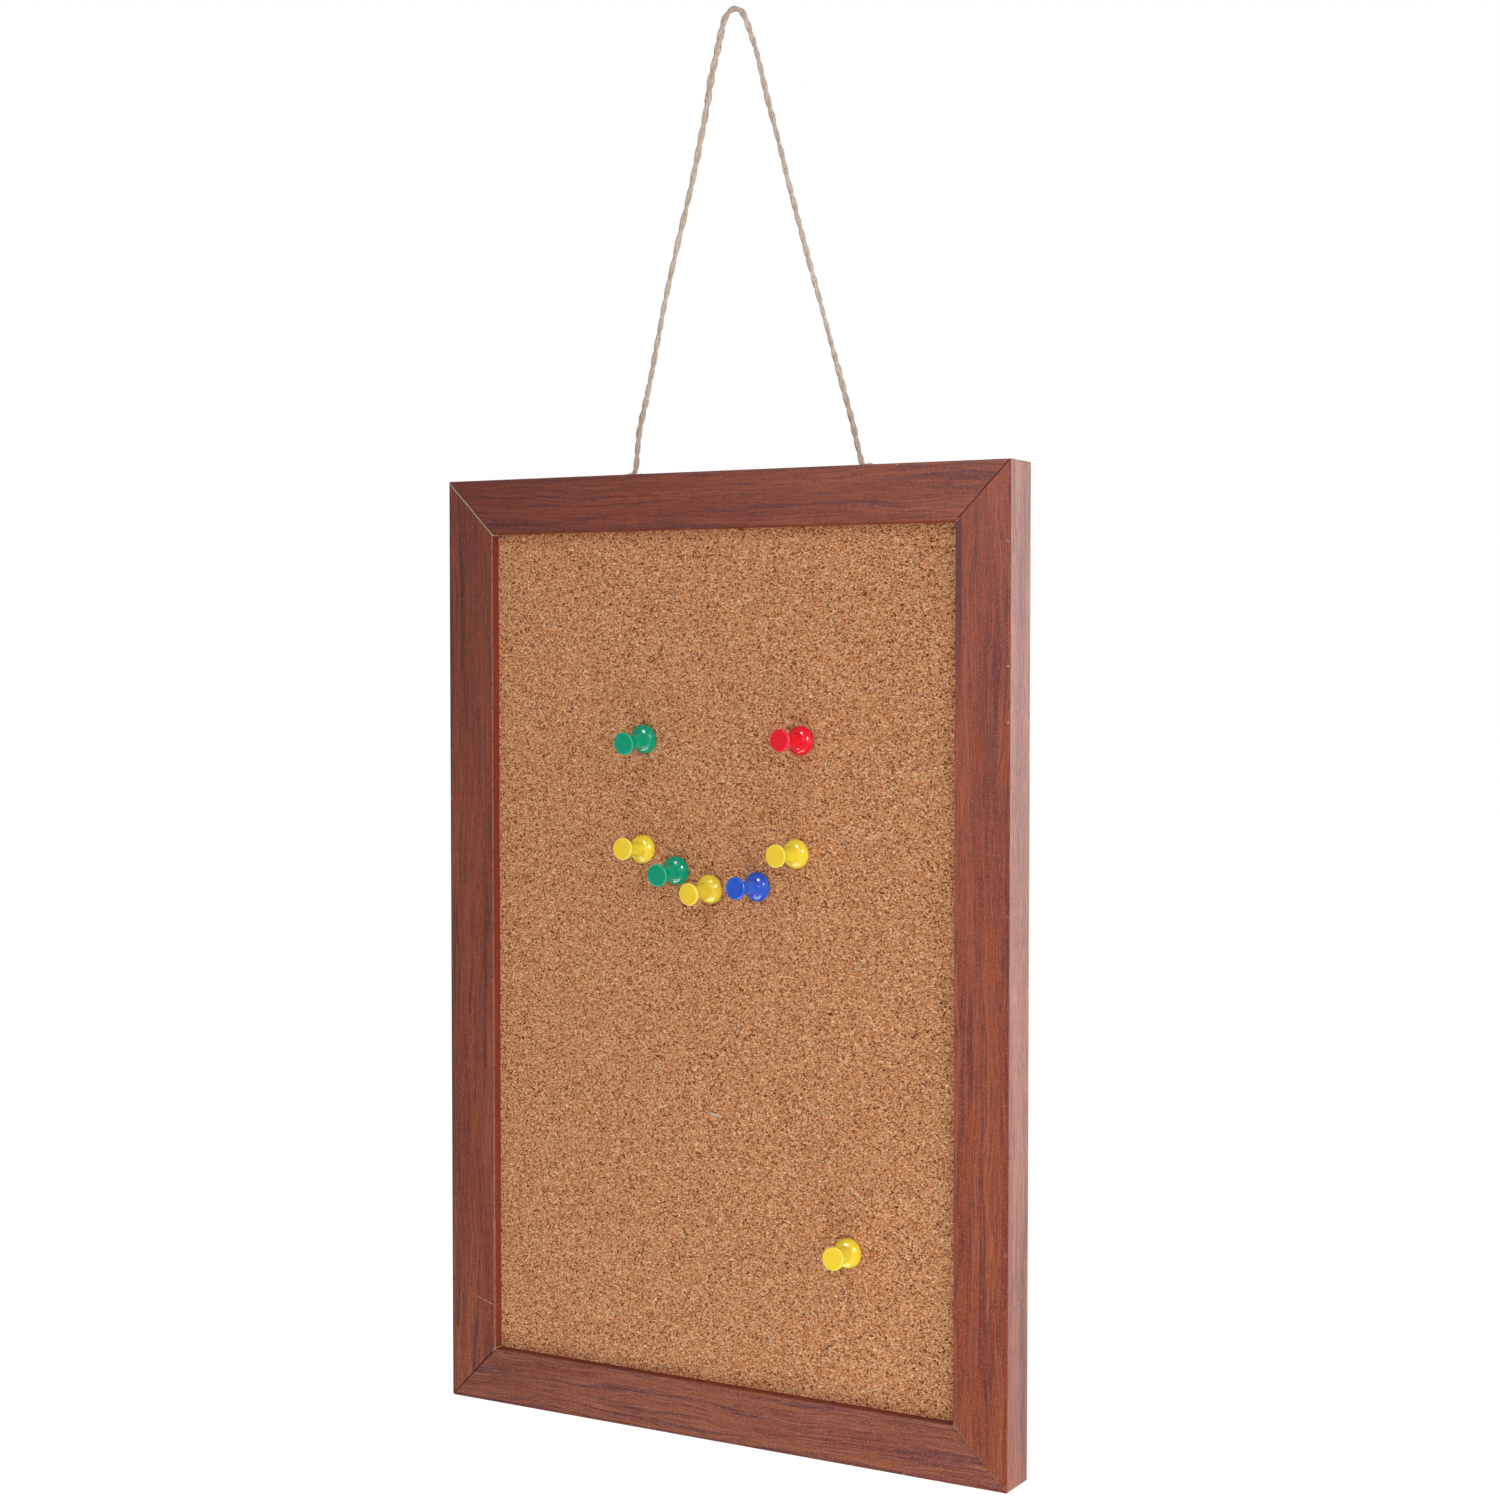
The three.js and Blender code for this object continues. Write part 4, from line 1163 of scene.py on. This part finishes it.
def foil_print(rail):
    """The print's colour, and its lines and pores for the relief."""
    tone = drawn_out(rail, 0.008, 0.13, 3.0, 0.6)
    figure = drawn_out(rail, 0.011, 0.36, 4.0, 0.6, 0.2)
    streaks = drawn_out(rail, 0.02, 1.2, 3.0, 0.62)
    lines = drawn_out(rail, 0.07, 3.2, 2.0, 0.6)
    pores = short_pores(rail)
    speckle = cloud(rail["place"], 1.7, 2.0, 0.7)
    colour = laid_over(
        blend(stretch(tone, 0.34, 0.66), (140, 58, 33), (166, 80, 48)),
        (times(stretch(figure, 0.5, 0.64), stretch(streaks, 0.3, 0.6, 0.5, 1.0), 0.85), (84, 34, 38)),
        (stretch(streaks, 0.5, 0.68, 0.0, 0.5), (92, 38, 36)),
        (stretch(streaks, 0.46, 0.3, 0.0, 0.3), (168, 90, 68)),
        (stretch(lines, 0.5, 0.62, 0.0, 0.6), (88, 36, 32)),
        (stretch(lines, 0.46, 0.35, 0.0, 0.4), (172, 96, 76)),
        (times(pores, 0.5), (66, 24, 24)),
        (stretch(speckle, 0.5, 0.7, 0.0, 0.5), (174, 96, 74)),
        (stretch(speckle, 0.47, 0.3, 0.0, 0.5), (92, 38, 34)),
    )
    return colour, lines, pores


print("the print has 6 layers")

# %% [markdown]
# Light and shade are painted at the folds. The foil over the outer edge is painted darker, as the shade
# of the rounded edge, with pale spots along it that are a painted highlight broken up like rubbed wear.
# The lip's edge has a painted pale pinkish highlight line. The lip's wall below it, which faces across
# the cork, is painted a clearer red-brown, darkest on the bottom rail, as the shade of the recess. One
# rail also has a fine scratch, and one a dark streak beside its lip, which starts at the upper corner
# and fades downwards.

# %% The foil's folds, with painted light and shade
SCRATCH_ALONG = -113.0
SCRATCH_SLANT = 0.3
STREAK_START = -120.0
STREAK_END = -55.0


def folds_with_painted_light(rail, settings, colour):
    """The print's colour with painted sheen, shade and highlights, and the streak or scratch it has."""
    share = stretch(rail["along"], -settings["half"], settings["half"], smooth=False)
    start_tint_and_sheen, end_tint_and_sheen = settings["tone"]
    # painted sheen and fall of light: a tint that runs from one end of the rail to the other
    tinted_with_sheen = blend(1.0, colour, blend(share, (*start_tint_and_sheen, 1), (*end_tint_and_sheen, 1)), "MULTIPLY")
    uneven = cloud(rail["place"], 0.7, 3.0, 0.6)
    # painted shade: the foil over the rounded outer front edge is painted darker
    painted_outer_edge = times(stretch(rail["inwards"], 1.2, 0.5), stretch(rail["depth"], 0.4, 0.15))
    lip = RAIL_WIDTH / MM
    lip_highlight = settings["lip_highlight"]
    at_lip = between(rail["inwards"], lip - 0.45, lip + 0.1, 0.15)
    lip_line = times(at_lip, stretch(rail["depth"], 0.5, 0.25))
    at_wall = times(stretch(rail["inwards"], lip - 0.25, lip - 0.1), stretch(rail["depth"], 0.3, 0.55))
    wall = times(at_wall, stretch(rail["depth"], LIP_DEPTH + 0.5, LIP_DEPTH + 0.4))
    foil_with_painted_light = laid_over(
        tinted_with_sheen,
        (painted_outer_edge, blend(1.0, tinted_with_sheen, (*settings["edge_shade_tint"], 1), "MULTIPLY")),
        # painted highlight: pale spots along the outer edge, broken up like rubbed wear
        (times(painted_outer_edge, stretch(uneven, 0.66, 0.72), 0.7), (206, 158, 132)),
        # painted highlight: a pale pinkish line along the lip's edge
        (times(lip_line, stretch(uneven, 0.36, 0.56, lip_highlight * 0.4, lip_highlight)), (214, 150, 126)),
        # painted shade: the lip's wall in the recess over the cork is painted a deeper, darker red-brown
        (wall, blend(0.65, tinted_with_sheen, settings["lip_wall_shade"])),
    )
    if settings is RAILS["right"]:
        streak = times(
            between(rail["inwards"], 15.6, 17.3, 0.6),
            stretch(rail["along"], STREAK_END, STREAK_START),
            stretch(uneven, 0.3, 0.6, 0.6, 0.9),
        )
        return blend(streak, foil_with_painted_light, (78, 34, 40))
    if settings is not RAILS["left"]:
        return foil_with_painted_light
    slanted = calc("MULTIPLY_ADD", rail["inwards"], SCRATCH_SLANT, rail["along"])
    scratch = times(
        between(slanted, SCRATCH_ALONG, SCRATCH_ALONG + 0.16, 0.1),
        between(rail["inwards"], 9.5, 16.5, 1.5),
        stretch(uneven, 0.35, 0.55),
        0.6,
    )
    return blend(scratch, foil_with_painted_light, (214, 170, 148))


print("the lip is", round(LIP_DEPTH, 2), "mm deep")

# %% [markdown]
# The mitres are cut after wrapping, so the raw board shows as a pale line where the two faces meet a
# little short of each other, and as a fine dark line where they close. Behind, the foil ends a few
# millimetres round the back edge, and from there on the board is bare, paler and fluffy.

# %% Mitre lines and the bare back
def raw_board(rail, settings):
    """The shares of pale raw board and of the dark joint line, and the raw board's colour and fluff."""
    to_end = calc("SUBTRACT", settings["half"], calc("ABSOLUTE", rail["along"]))
    to_mitre = times(calc("SUBTRACT", to_end, rail["inwards"]), math.sqrt(0.5))
    at_end = calc("GREATER_THAN", rail["along"], 0.0)
    pale_width = stretch(at_end, 0.0, 1.0, *settings["pale"], smooth=False)
    joint_strength = stretch(at_end, 0.0, 1.0, *settings["joint"], smooth=False)
    in_front = calc("LESS_THAN", rail["depth"], LIP_DEPTH + 0.2)
    on_face = times(in_front, calc("GREATER_THAN", rail["inwards"], 0.5))
    ragged = calc("MULTIPLY_ADD", cloud(rail["place"], 0.8, 3.0), 0.2, -0.1)
    off_pale = calc("SUBTRACT", to_mitre, calc("ADD", pale_width, ragged))
    pale_line = times(stretch(off_pale, 0.08, 0.0), calc("GREATER_THAN", pale_width, 0.01))
    corner_dab = times(stretch(rail["inwards"], 15.9, 16.7), stretch(to_mitre, 0.4, 0.12), 0.7)
    pale = times(calc("MAXIMUM", pale_line, corner_dab), on_face)
    dark_width = calc("MULTIPLY_ADD", rail["inwards"], 0.007, calc("ADD", ragged, 0.05))
    off_dark = calc("SUBTRACT", to_mitre, calc("ADD", times(pale_width, 1.3), dark_width))
    inner_share = stretch(rail["inwards"], 1.0, 14.0, 0.35, 1.0)
    dark = times(joint_strength, inner_share, stretch(off_dark, 0.07, 0.0))
    behind = calc("GREATER_THAN", rail["depth"], 14.9)
    wrap_edge = calc("MULTIPLY_ADD", cloud(rail["place"], 0.25, 3.0), 1.2, 3.2)
    raw_back = times(behind, calc("GREATER_THAN", rail["inwards"], wrap_edge))
    fluff = cloud(rail["place"], 3.5, 4.0, 0.7)
    raw_colour = blend(stretch(fluff, 0.3, 0.7), (180, 148, 122), (214, 186, 160))
    return calc("MAXIMUM", pale, raw_back), dark, raw_colour, fluff


def printed_foil(name, settings):
    finish, shader = new_finish(name, 0.4, specular=0.16)
    rail = rail_measures(settings)
    print_colour, lines, pores = foil_print(rail)
    foil_with_painted_light = folds_with_painted_light(rail, settings, print_colour)
    raw, joint, raw_colour, fluff = raw_board(rail, settings)
    foil_rough = stretch(lines, 0.3, 0.7, 0.42, 0.54)
    dents = calc("SUBTRACT", times(lines, 0.5), pores)
    set_inputs(shader, {
        "Base Color": laid_over(foil_with_painted_light, (joint, (52, 24, 20)), (raw, raw_colour)),
        "Roughness": add_node("ShaderNodeMix", {0: raw, 2: foil_rough, 3: 0.9}).outputs[0],
    })
    relief(shader, add_node("ShaderNodeMix", {0: raw, 2: dents, 3: fluff}).outputs[0], 0.03, 0.5)
    return finish


for rail_name, rail in rail_pieces.items():
    foil = printed_foil(f"foil_{rail_name}", RAILS[rail_name])
    coat(rail, foil)
    print(rail.name, "has", foil.name)

# %% [markdown]
# The cork is pressed from fine crushed granules. Up close each grain has its own tan, the seams between
# grains are dark and broken, and scattered crumbs of bark are almost brown-black. Thin curled shreds
# are painted pale as the highlight where they catch the light, and dark as the small shadow they throw.
# Cells of noise give the grains, with their coordinates stirred first so that no cell looks
# straight-edged. The curls are narrow bands of a noise's middle values.

# %% Cork helpers
def cells(vector, scale, feature="F1"):
    return add_node("ShaderNodeTexVoronoi", {"Vector": vector, "Scale": scale}, feature=feature)


def cell_tones(cell_node):
    """Three random numbers of each cell."""
    return add_node("ShaderNodeSeparateColor", {0: cell_node.outputs["Color"]}).outputs


def curls(place, scale, level, width, shift, coverage):
    """Thin curved lines where a noise passes a level, broken up so that a share of them is left."""
    moved = vector_calc("ADD", {0: place, 1: (shift, 0, 2 * shift)})
    winding = cloud(moved, scale, 1.5, 0.5, 0.4)
    off_level = calc("ABSOLUTE", calc("SUBTRACT", winding, level))
    kept = cloud(moved, scale * 0.55, 2.0, 0.6)
    return times(stretch(off_level, width, width * 0.3), stretch(kept, 0.54 - coverage, 0.6 - coverage))

# %% Pressed cork
GRAINS_PER_MM = 2.0
CRUMBS_PER_MM = 2.7
FLAKE_STRETCH = (0.75, 1.0, 1.2)
STIR_MM = 0.8
cork, cork_shader = new_finish("pressed_cork", 0.9, specular=0.0)
cork_place = own_place()
stir = add_node("ShaderNodeTexNoise", {"Vector": cork_place, "Scale": 2.1, "Detail": 2.0})
stir_centred = vector_calc("SUBTRACT", {0: stir.outputs["Color"], 1: (0.5, 0.5, 0.5)})
stirred = vector_calc("MULTIPLY_ADD", {0: stir_centred, 1: (STIR_MM, STIR_MM, STIR_MM), 2: cork_place})
flaky = scaled(stirred, *FLAKE_STRETCH)
grain_tones = cell_tones(cells(flaky, GRAINS_PER_MM))
crumb_tones = cell_tones(cells(flaky, CRUMBS_PER_MM))
grain_seams = cells(flaky, GRAINS_PER_MM, "DISTANCE_TO_EDGE").outputs["Distance"]
patchy = cloud(cork_place, 1.2, 3.0, 0.6)
broad = cloud(cork_place, 0.05, 2.0)
seam = times(stretch(grain_seams, 0.12, 0.03), stretch(patchy, 0.5, 0.58))
curl_place = scaled(cork_place, *FLAKE_STRETCH)
lit_curls = curls(curl_place, 3.1, 0.55, 0.12, 11.0, 0.03)
shadowed_curls = curls(curl_place, 3.4, 0.48, 0.13, 47.0, -0.01)
cork_colour = laid_over(
    blend(grain_tones[0], (194, 116, 68), (222, 157, 106)),
    (stretch(crumb_tones[1], 0.0, 1.0, 0.0, 0.5), (214, 150, 102)),
    (stretch(broad, 0.35, 0.65, 0.0, 0.12), (196, 120, 74)),
    (stretch(crumb_tones[0], 0.8, 0.92, 0.0, 0.85), (252, 211, 165)),
    (stretch(crumb_tones[2], 0.79, 0.89, 0.0, 0.95), (116, 46, 18)),
    (times(seam, 0.6), (124, 50, 20)),
    # painted highlight and painted shadow: pale and dark curled shreds
    (times(lit_curls, 0.75), (246, 204, 158)),
    (times(shadowed_curls, 0.7), (96, 32, 12)),
    (stretch(grain_tones[2], 0.95, 0.96, 0.0, 0.85), (84, 32, 16)),
    (stretch(grain_tones[1], 0.975, 0.985, 0.0, 0.75), (220, 184, 150)),
)
print("cork has", GRAINS_PER_MM, "grains and", CRUMBS_PER_MM, "crumbs per mm")

# %% Two pale chips pressed into the cork, and its relief
CHIPS = [(-0.8, -340.8, 2.3, 0.42, -0.17, (206, 196, 180)), (55.1, -406.7, 0.7, 0.35, 0.1, (236, 214, 184))]
for chip_x, chip_z, half_length, half_width, slope, chip_tone in CHIPS:
    from_x = measure(cork_place, (1, 0, 0), chip_x)
    across = calc("MULTIPLY_ADD", from_x, -slope, measure(cork_place, (0, 0, 1), chip_z))
    length_share = calc("POWER", calc("DIVIDE", from_x, half_length), 2.0)
    width_share = calc("POWER", calc("DIVIDE", across, half_width), 2.0)
    ragged_reach = calc("MULTIPLY_ADD", patchy, 1.6, calc("ADD", length_share, width_share))
    cork_colour = blend(times(stretch(ragged_reach, 1.95, 1.7), 0.85), cork_colour, chip_tone)
set_inputs(cork_shader, {"Base Color": cork_colour})
crumb_height = calc("MULTIPLY_ADD", crumb_tones[0], 0.4, times(grain_tones[1], 0.4))
raised = calc("MULTIPLY_ADD", lit_curls, 0.3, crumb_height)
relief(cork_shader, calc("MULTIPLY_ADD", calc("MAXIMUM", seam, shadowed_curls), -0.8, raised), 0.2, 0.55)
coat(frame["nodes"]["cork_sheet"], cork)
print("cork_sheet has", cork.name, "with", len(CHIPS), "chips")

# %% [markdown]
# From behind, a thin brown hardboard closes the frame. Its rough side keeps the print of the wire
# screen that it was pressed on, a fine square weave. The softboard core between it and the cork is
# grey-tan felted fibre, and is hidden while the board is whole.

# %% Hardboard and softboard
SCREEN_PITCH = 1.3
hardboard, hardboard_shader = new_finish("hardboard", 0.78)
place = own_place()
screen = []
for direction in ((1, 0, 0), (0, 0, 1)):
    screen.append(calc("SINE", times(measure(place, direction, 0.0), 2 * math.pi / SCREEN_PITCH)))
weave = times(*screen)
fibre = cloud(place, 1.6, 5.0, 0.7, 0.4)
fleck = cloud(scaled(place, 0.6, 1.0, 1.4), 0.9, 3.0, 0.6)
hardboard_colour = laid_over(
    blend(stretch(fibre, 0.3, 0.7), (104, 68, 42), (142, 100, 66)),
    (stretch(fleck, 0.6, 0.72, 0.0, 0.55), (172, 132, 92)),
    (stretch(weave, -0.2, 0.9, 0.0, 0.3), (84, 52, 32)),
)
set_inputs(hardboard_shader, {"Base Color": hardboard_colour})
relief(hardboard_shader, calc("MULTIPLY_ADD", weave, -0.25, fibre), 0.18, 0.6)
coat(frame["nodes"]["back_panel"], hardboard)

softboard, softboard_shader = new_finish("softboard", 0.95)
felt = cloud(scaled(own_place(), 1.0, 2.5, 1.0), 1.3, 5.0, 0.7, 0.5)
felt_colour = blend(stretch(felt, 0.3, 0.7), (160, 142, 112), (200, 186, 156))
set_inputs(softboard_shader, {"Base Color": felt_colour})
relief(softboard_shader, felt, 0.3, 0.7)
coat(frame["nodes"]["softboard_core"], softboard)

small_steel = [name for name in frame["nodes"] if name.startswith(("framers_point", "vnail"))]
for node_name in small_steel:
    coat(frame["nodes"][node_name], strip_steel)
print(len(small_steel), "small steel pieces have", strip_steel.name)

# %% [markdown]
# The board hangs clear of a wide, plain white floor. The photograph has a plain white ground, so the
# camera, and glossy and see-through surfaces, see the floor and the world as white: the world has
# strength 1 for these rays, and the floor adds a little light of its own to what it returns. That
# light is seen only, and doesn't fall on the board, and the board's soft shadow stays on the floor.

# %% Floor and surroundings
FLOOR_DROP = 0.5
FLOOR_SIZE = 60
FLOOR_GLOW = 0.66
AMBIENT = 0.44
WHITE = (1, 1, 1, 1)


def seen_directly():
    """1 for rays that show the surroundings: from the camera, mirrored or passed through."""
    rays = add_node("ShaderNodeLightPath")
    mirrored = calc("MAXIMUM", rays.outputs["Is Glossy Ray"], rays.outputs["Is Transmission Ray"])
    return calc("MAXIMUM", rays.outputs["Is Camera Ray"], mirrored)


start_clean()
bpy.ops.mesh.primitive_plane_add(size=FLOOR_SIZE, location=(0, 0, cad_low.z - FLOOR_DROP))
floor = bpy.context.object
floor.name = "floor"
floor_finish, floor_shader = new_finish("white_floor", 0.9, specular=0.0)
set_inputs(floor_shader, {
    "Base Color": (0.8, 0.8, 0.8, 1),
    "Emission Color": WHITE,
    "Emission Strength": times(seen_directly(), FLOOR_GLOW),
})
coat(floor, floor_finish)

world = bpy.data.worlds.new("studio")
bpy.context.scene.world = world
begin(world)
ambient = tree.nodes["Background"]
set_inputs(ambient, {"Color": WHITE, "Strength": AMBIENT})
white = add_node("ShaderNodeBackground", {"Color": WHITE, "Strength": 1.0})
either = add_node("ShaderNodeMixShader", {0: seen_directly(), 1: ambient.outputs[0], 2: white.outputs[0]})
set_inputs(tree.nodes["World Output"], {"Surface": either.outputs[0]})
print("floor at", round((cad_low.z - FLOOR_DROP) / MM), "mm, ambient", AMBIENT)

# %% [markdown]
# The pale surroundings do most of the lighting, so the shadows are faint. A wide lamp from below and
# a little to the right draws the soft shadow of the lips on the cork, and others from the front, from
# above and from the right even it out. All stand above the floor, which would hide a lower one. The
# gloss of the pins shows two small bright squares and a broad pale crescent: these three lamps are
# linked to the pins alone, so that they don't veil the frame or change how bright the cork is. Two
# lamps are linked to the rails alone: one from above gives the satin of the upper rails, and a wide one
# far round the right side grazes that side and gives it its pale sheen. The camera sees no lamp.

# %% Lamps
BOARD_CENTRE = Vector((0, FRONT, BOARD_MIDDLE))


def soft_lamp(name, direction, distance, size, power, gloss_on=None):
    """A square lamp facing the board's middle. With gloss_on, only those pieces' gloss shows it."""
    lamp_data = bpy.data.lights.new(name, "AREA")
    lamp_data.shape = "SQUARE"
    lamp_data.size = size
    lamp_data.energy = power
    lamp = add_object(name, lamp_data)
    way = Vector(direction).normalized()
    lamp.location = BOARD_CENTRE + way * distance
    lamp.rotation_euler = way.to_track_quat("Z", "Y").to_euler()
    lamp.visible_camera = False
    lamp.visible_diffuse = gloss_on is None
    if gloss_on is not None:
        shown_on = bpy.data.collections.new(f"{name}_pieces")
        for piece in gloss_on:
            shown_on.objects.link(piece)
        lamp.light_linking.receiver_collection = shown_on


pin_bodies = [body for body, needle, colour in pin_pieces.values()]
rails = list(rail_pieces.values())
soft_lamp("front_lamp", (0.5, -0.84, 0.1), 0.8, 0.7, 1.1)
soft_lamp("high_lamp", (0.05, -0.66, 0.74), 1.1, 0.3, 1.6)
soft_lamp("low_lamp", (0.35, -0.6, -0.72), 0.7, 0.35, 1.3)
soft_lamp("right_lamp", (0.94, -0.28, 0.2), 1.0, 0.8, 4.0)
soft_lamp("back_right_lamp", (0.38, 0.9, 0.12), 1.0, 0.9, 4.0)
soft_lamp("high_glint", (-0.2, -0.82, 0.54), 1.15, 0.18, 26.0, pin_bodies)
soft_lamp("right_glint", (0.69, -0.63, 0.34), 0.9, 0.14, 17.0, pin_bodies)
soft_lamp("low_glint", (-0.19, -0.37, -0.91), 0.58, 0.45, 11.0, pin_bodies)
soft_lamp("high_sheen", (0.05, -0.85, 0.52), 1.15, 0.3, 34.0, rails)
soft_lamp("back_right_glint", (0.38, 0.9, 0.12), 1.0, 0.9, 41.0, rails)
print("lamps: 10")
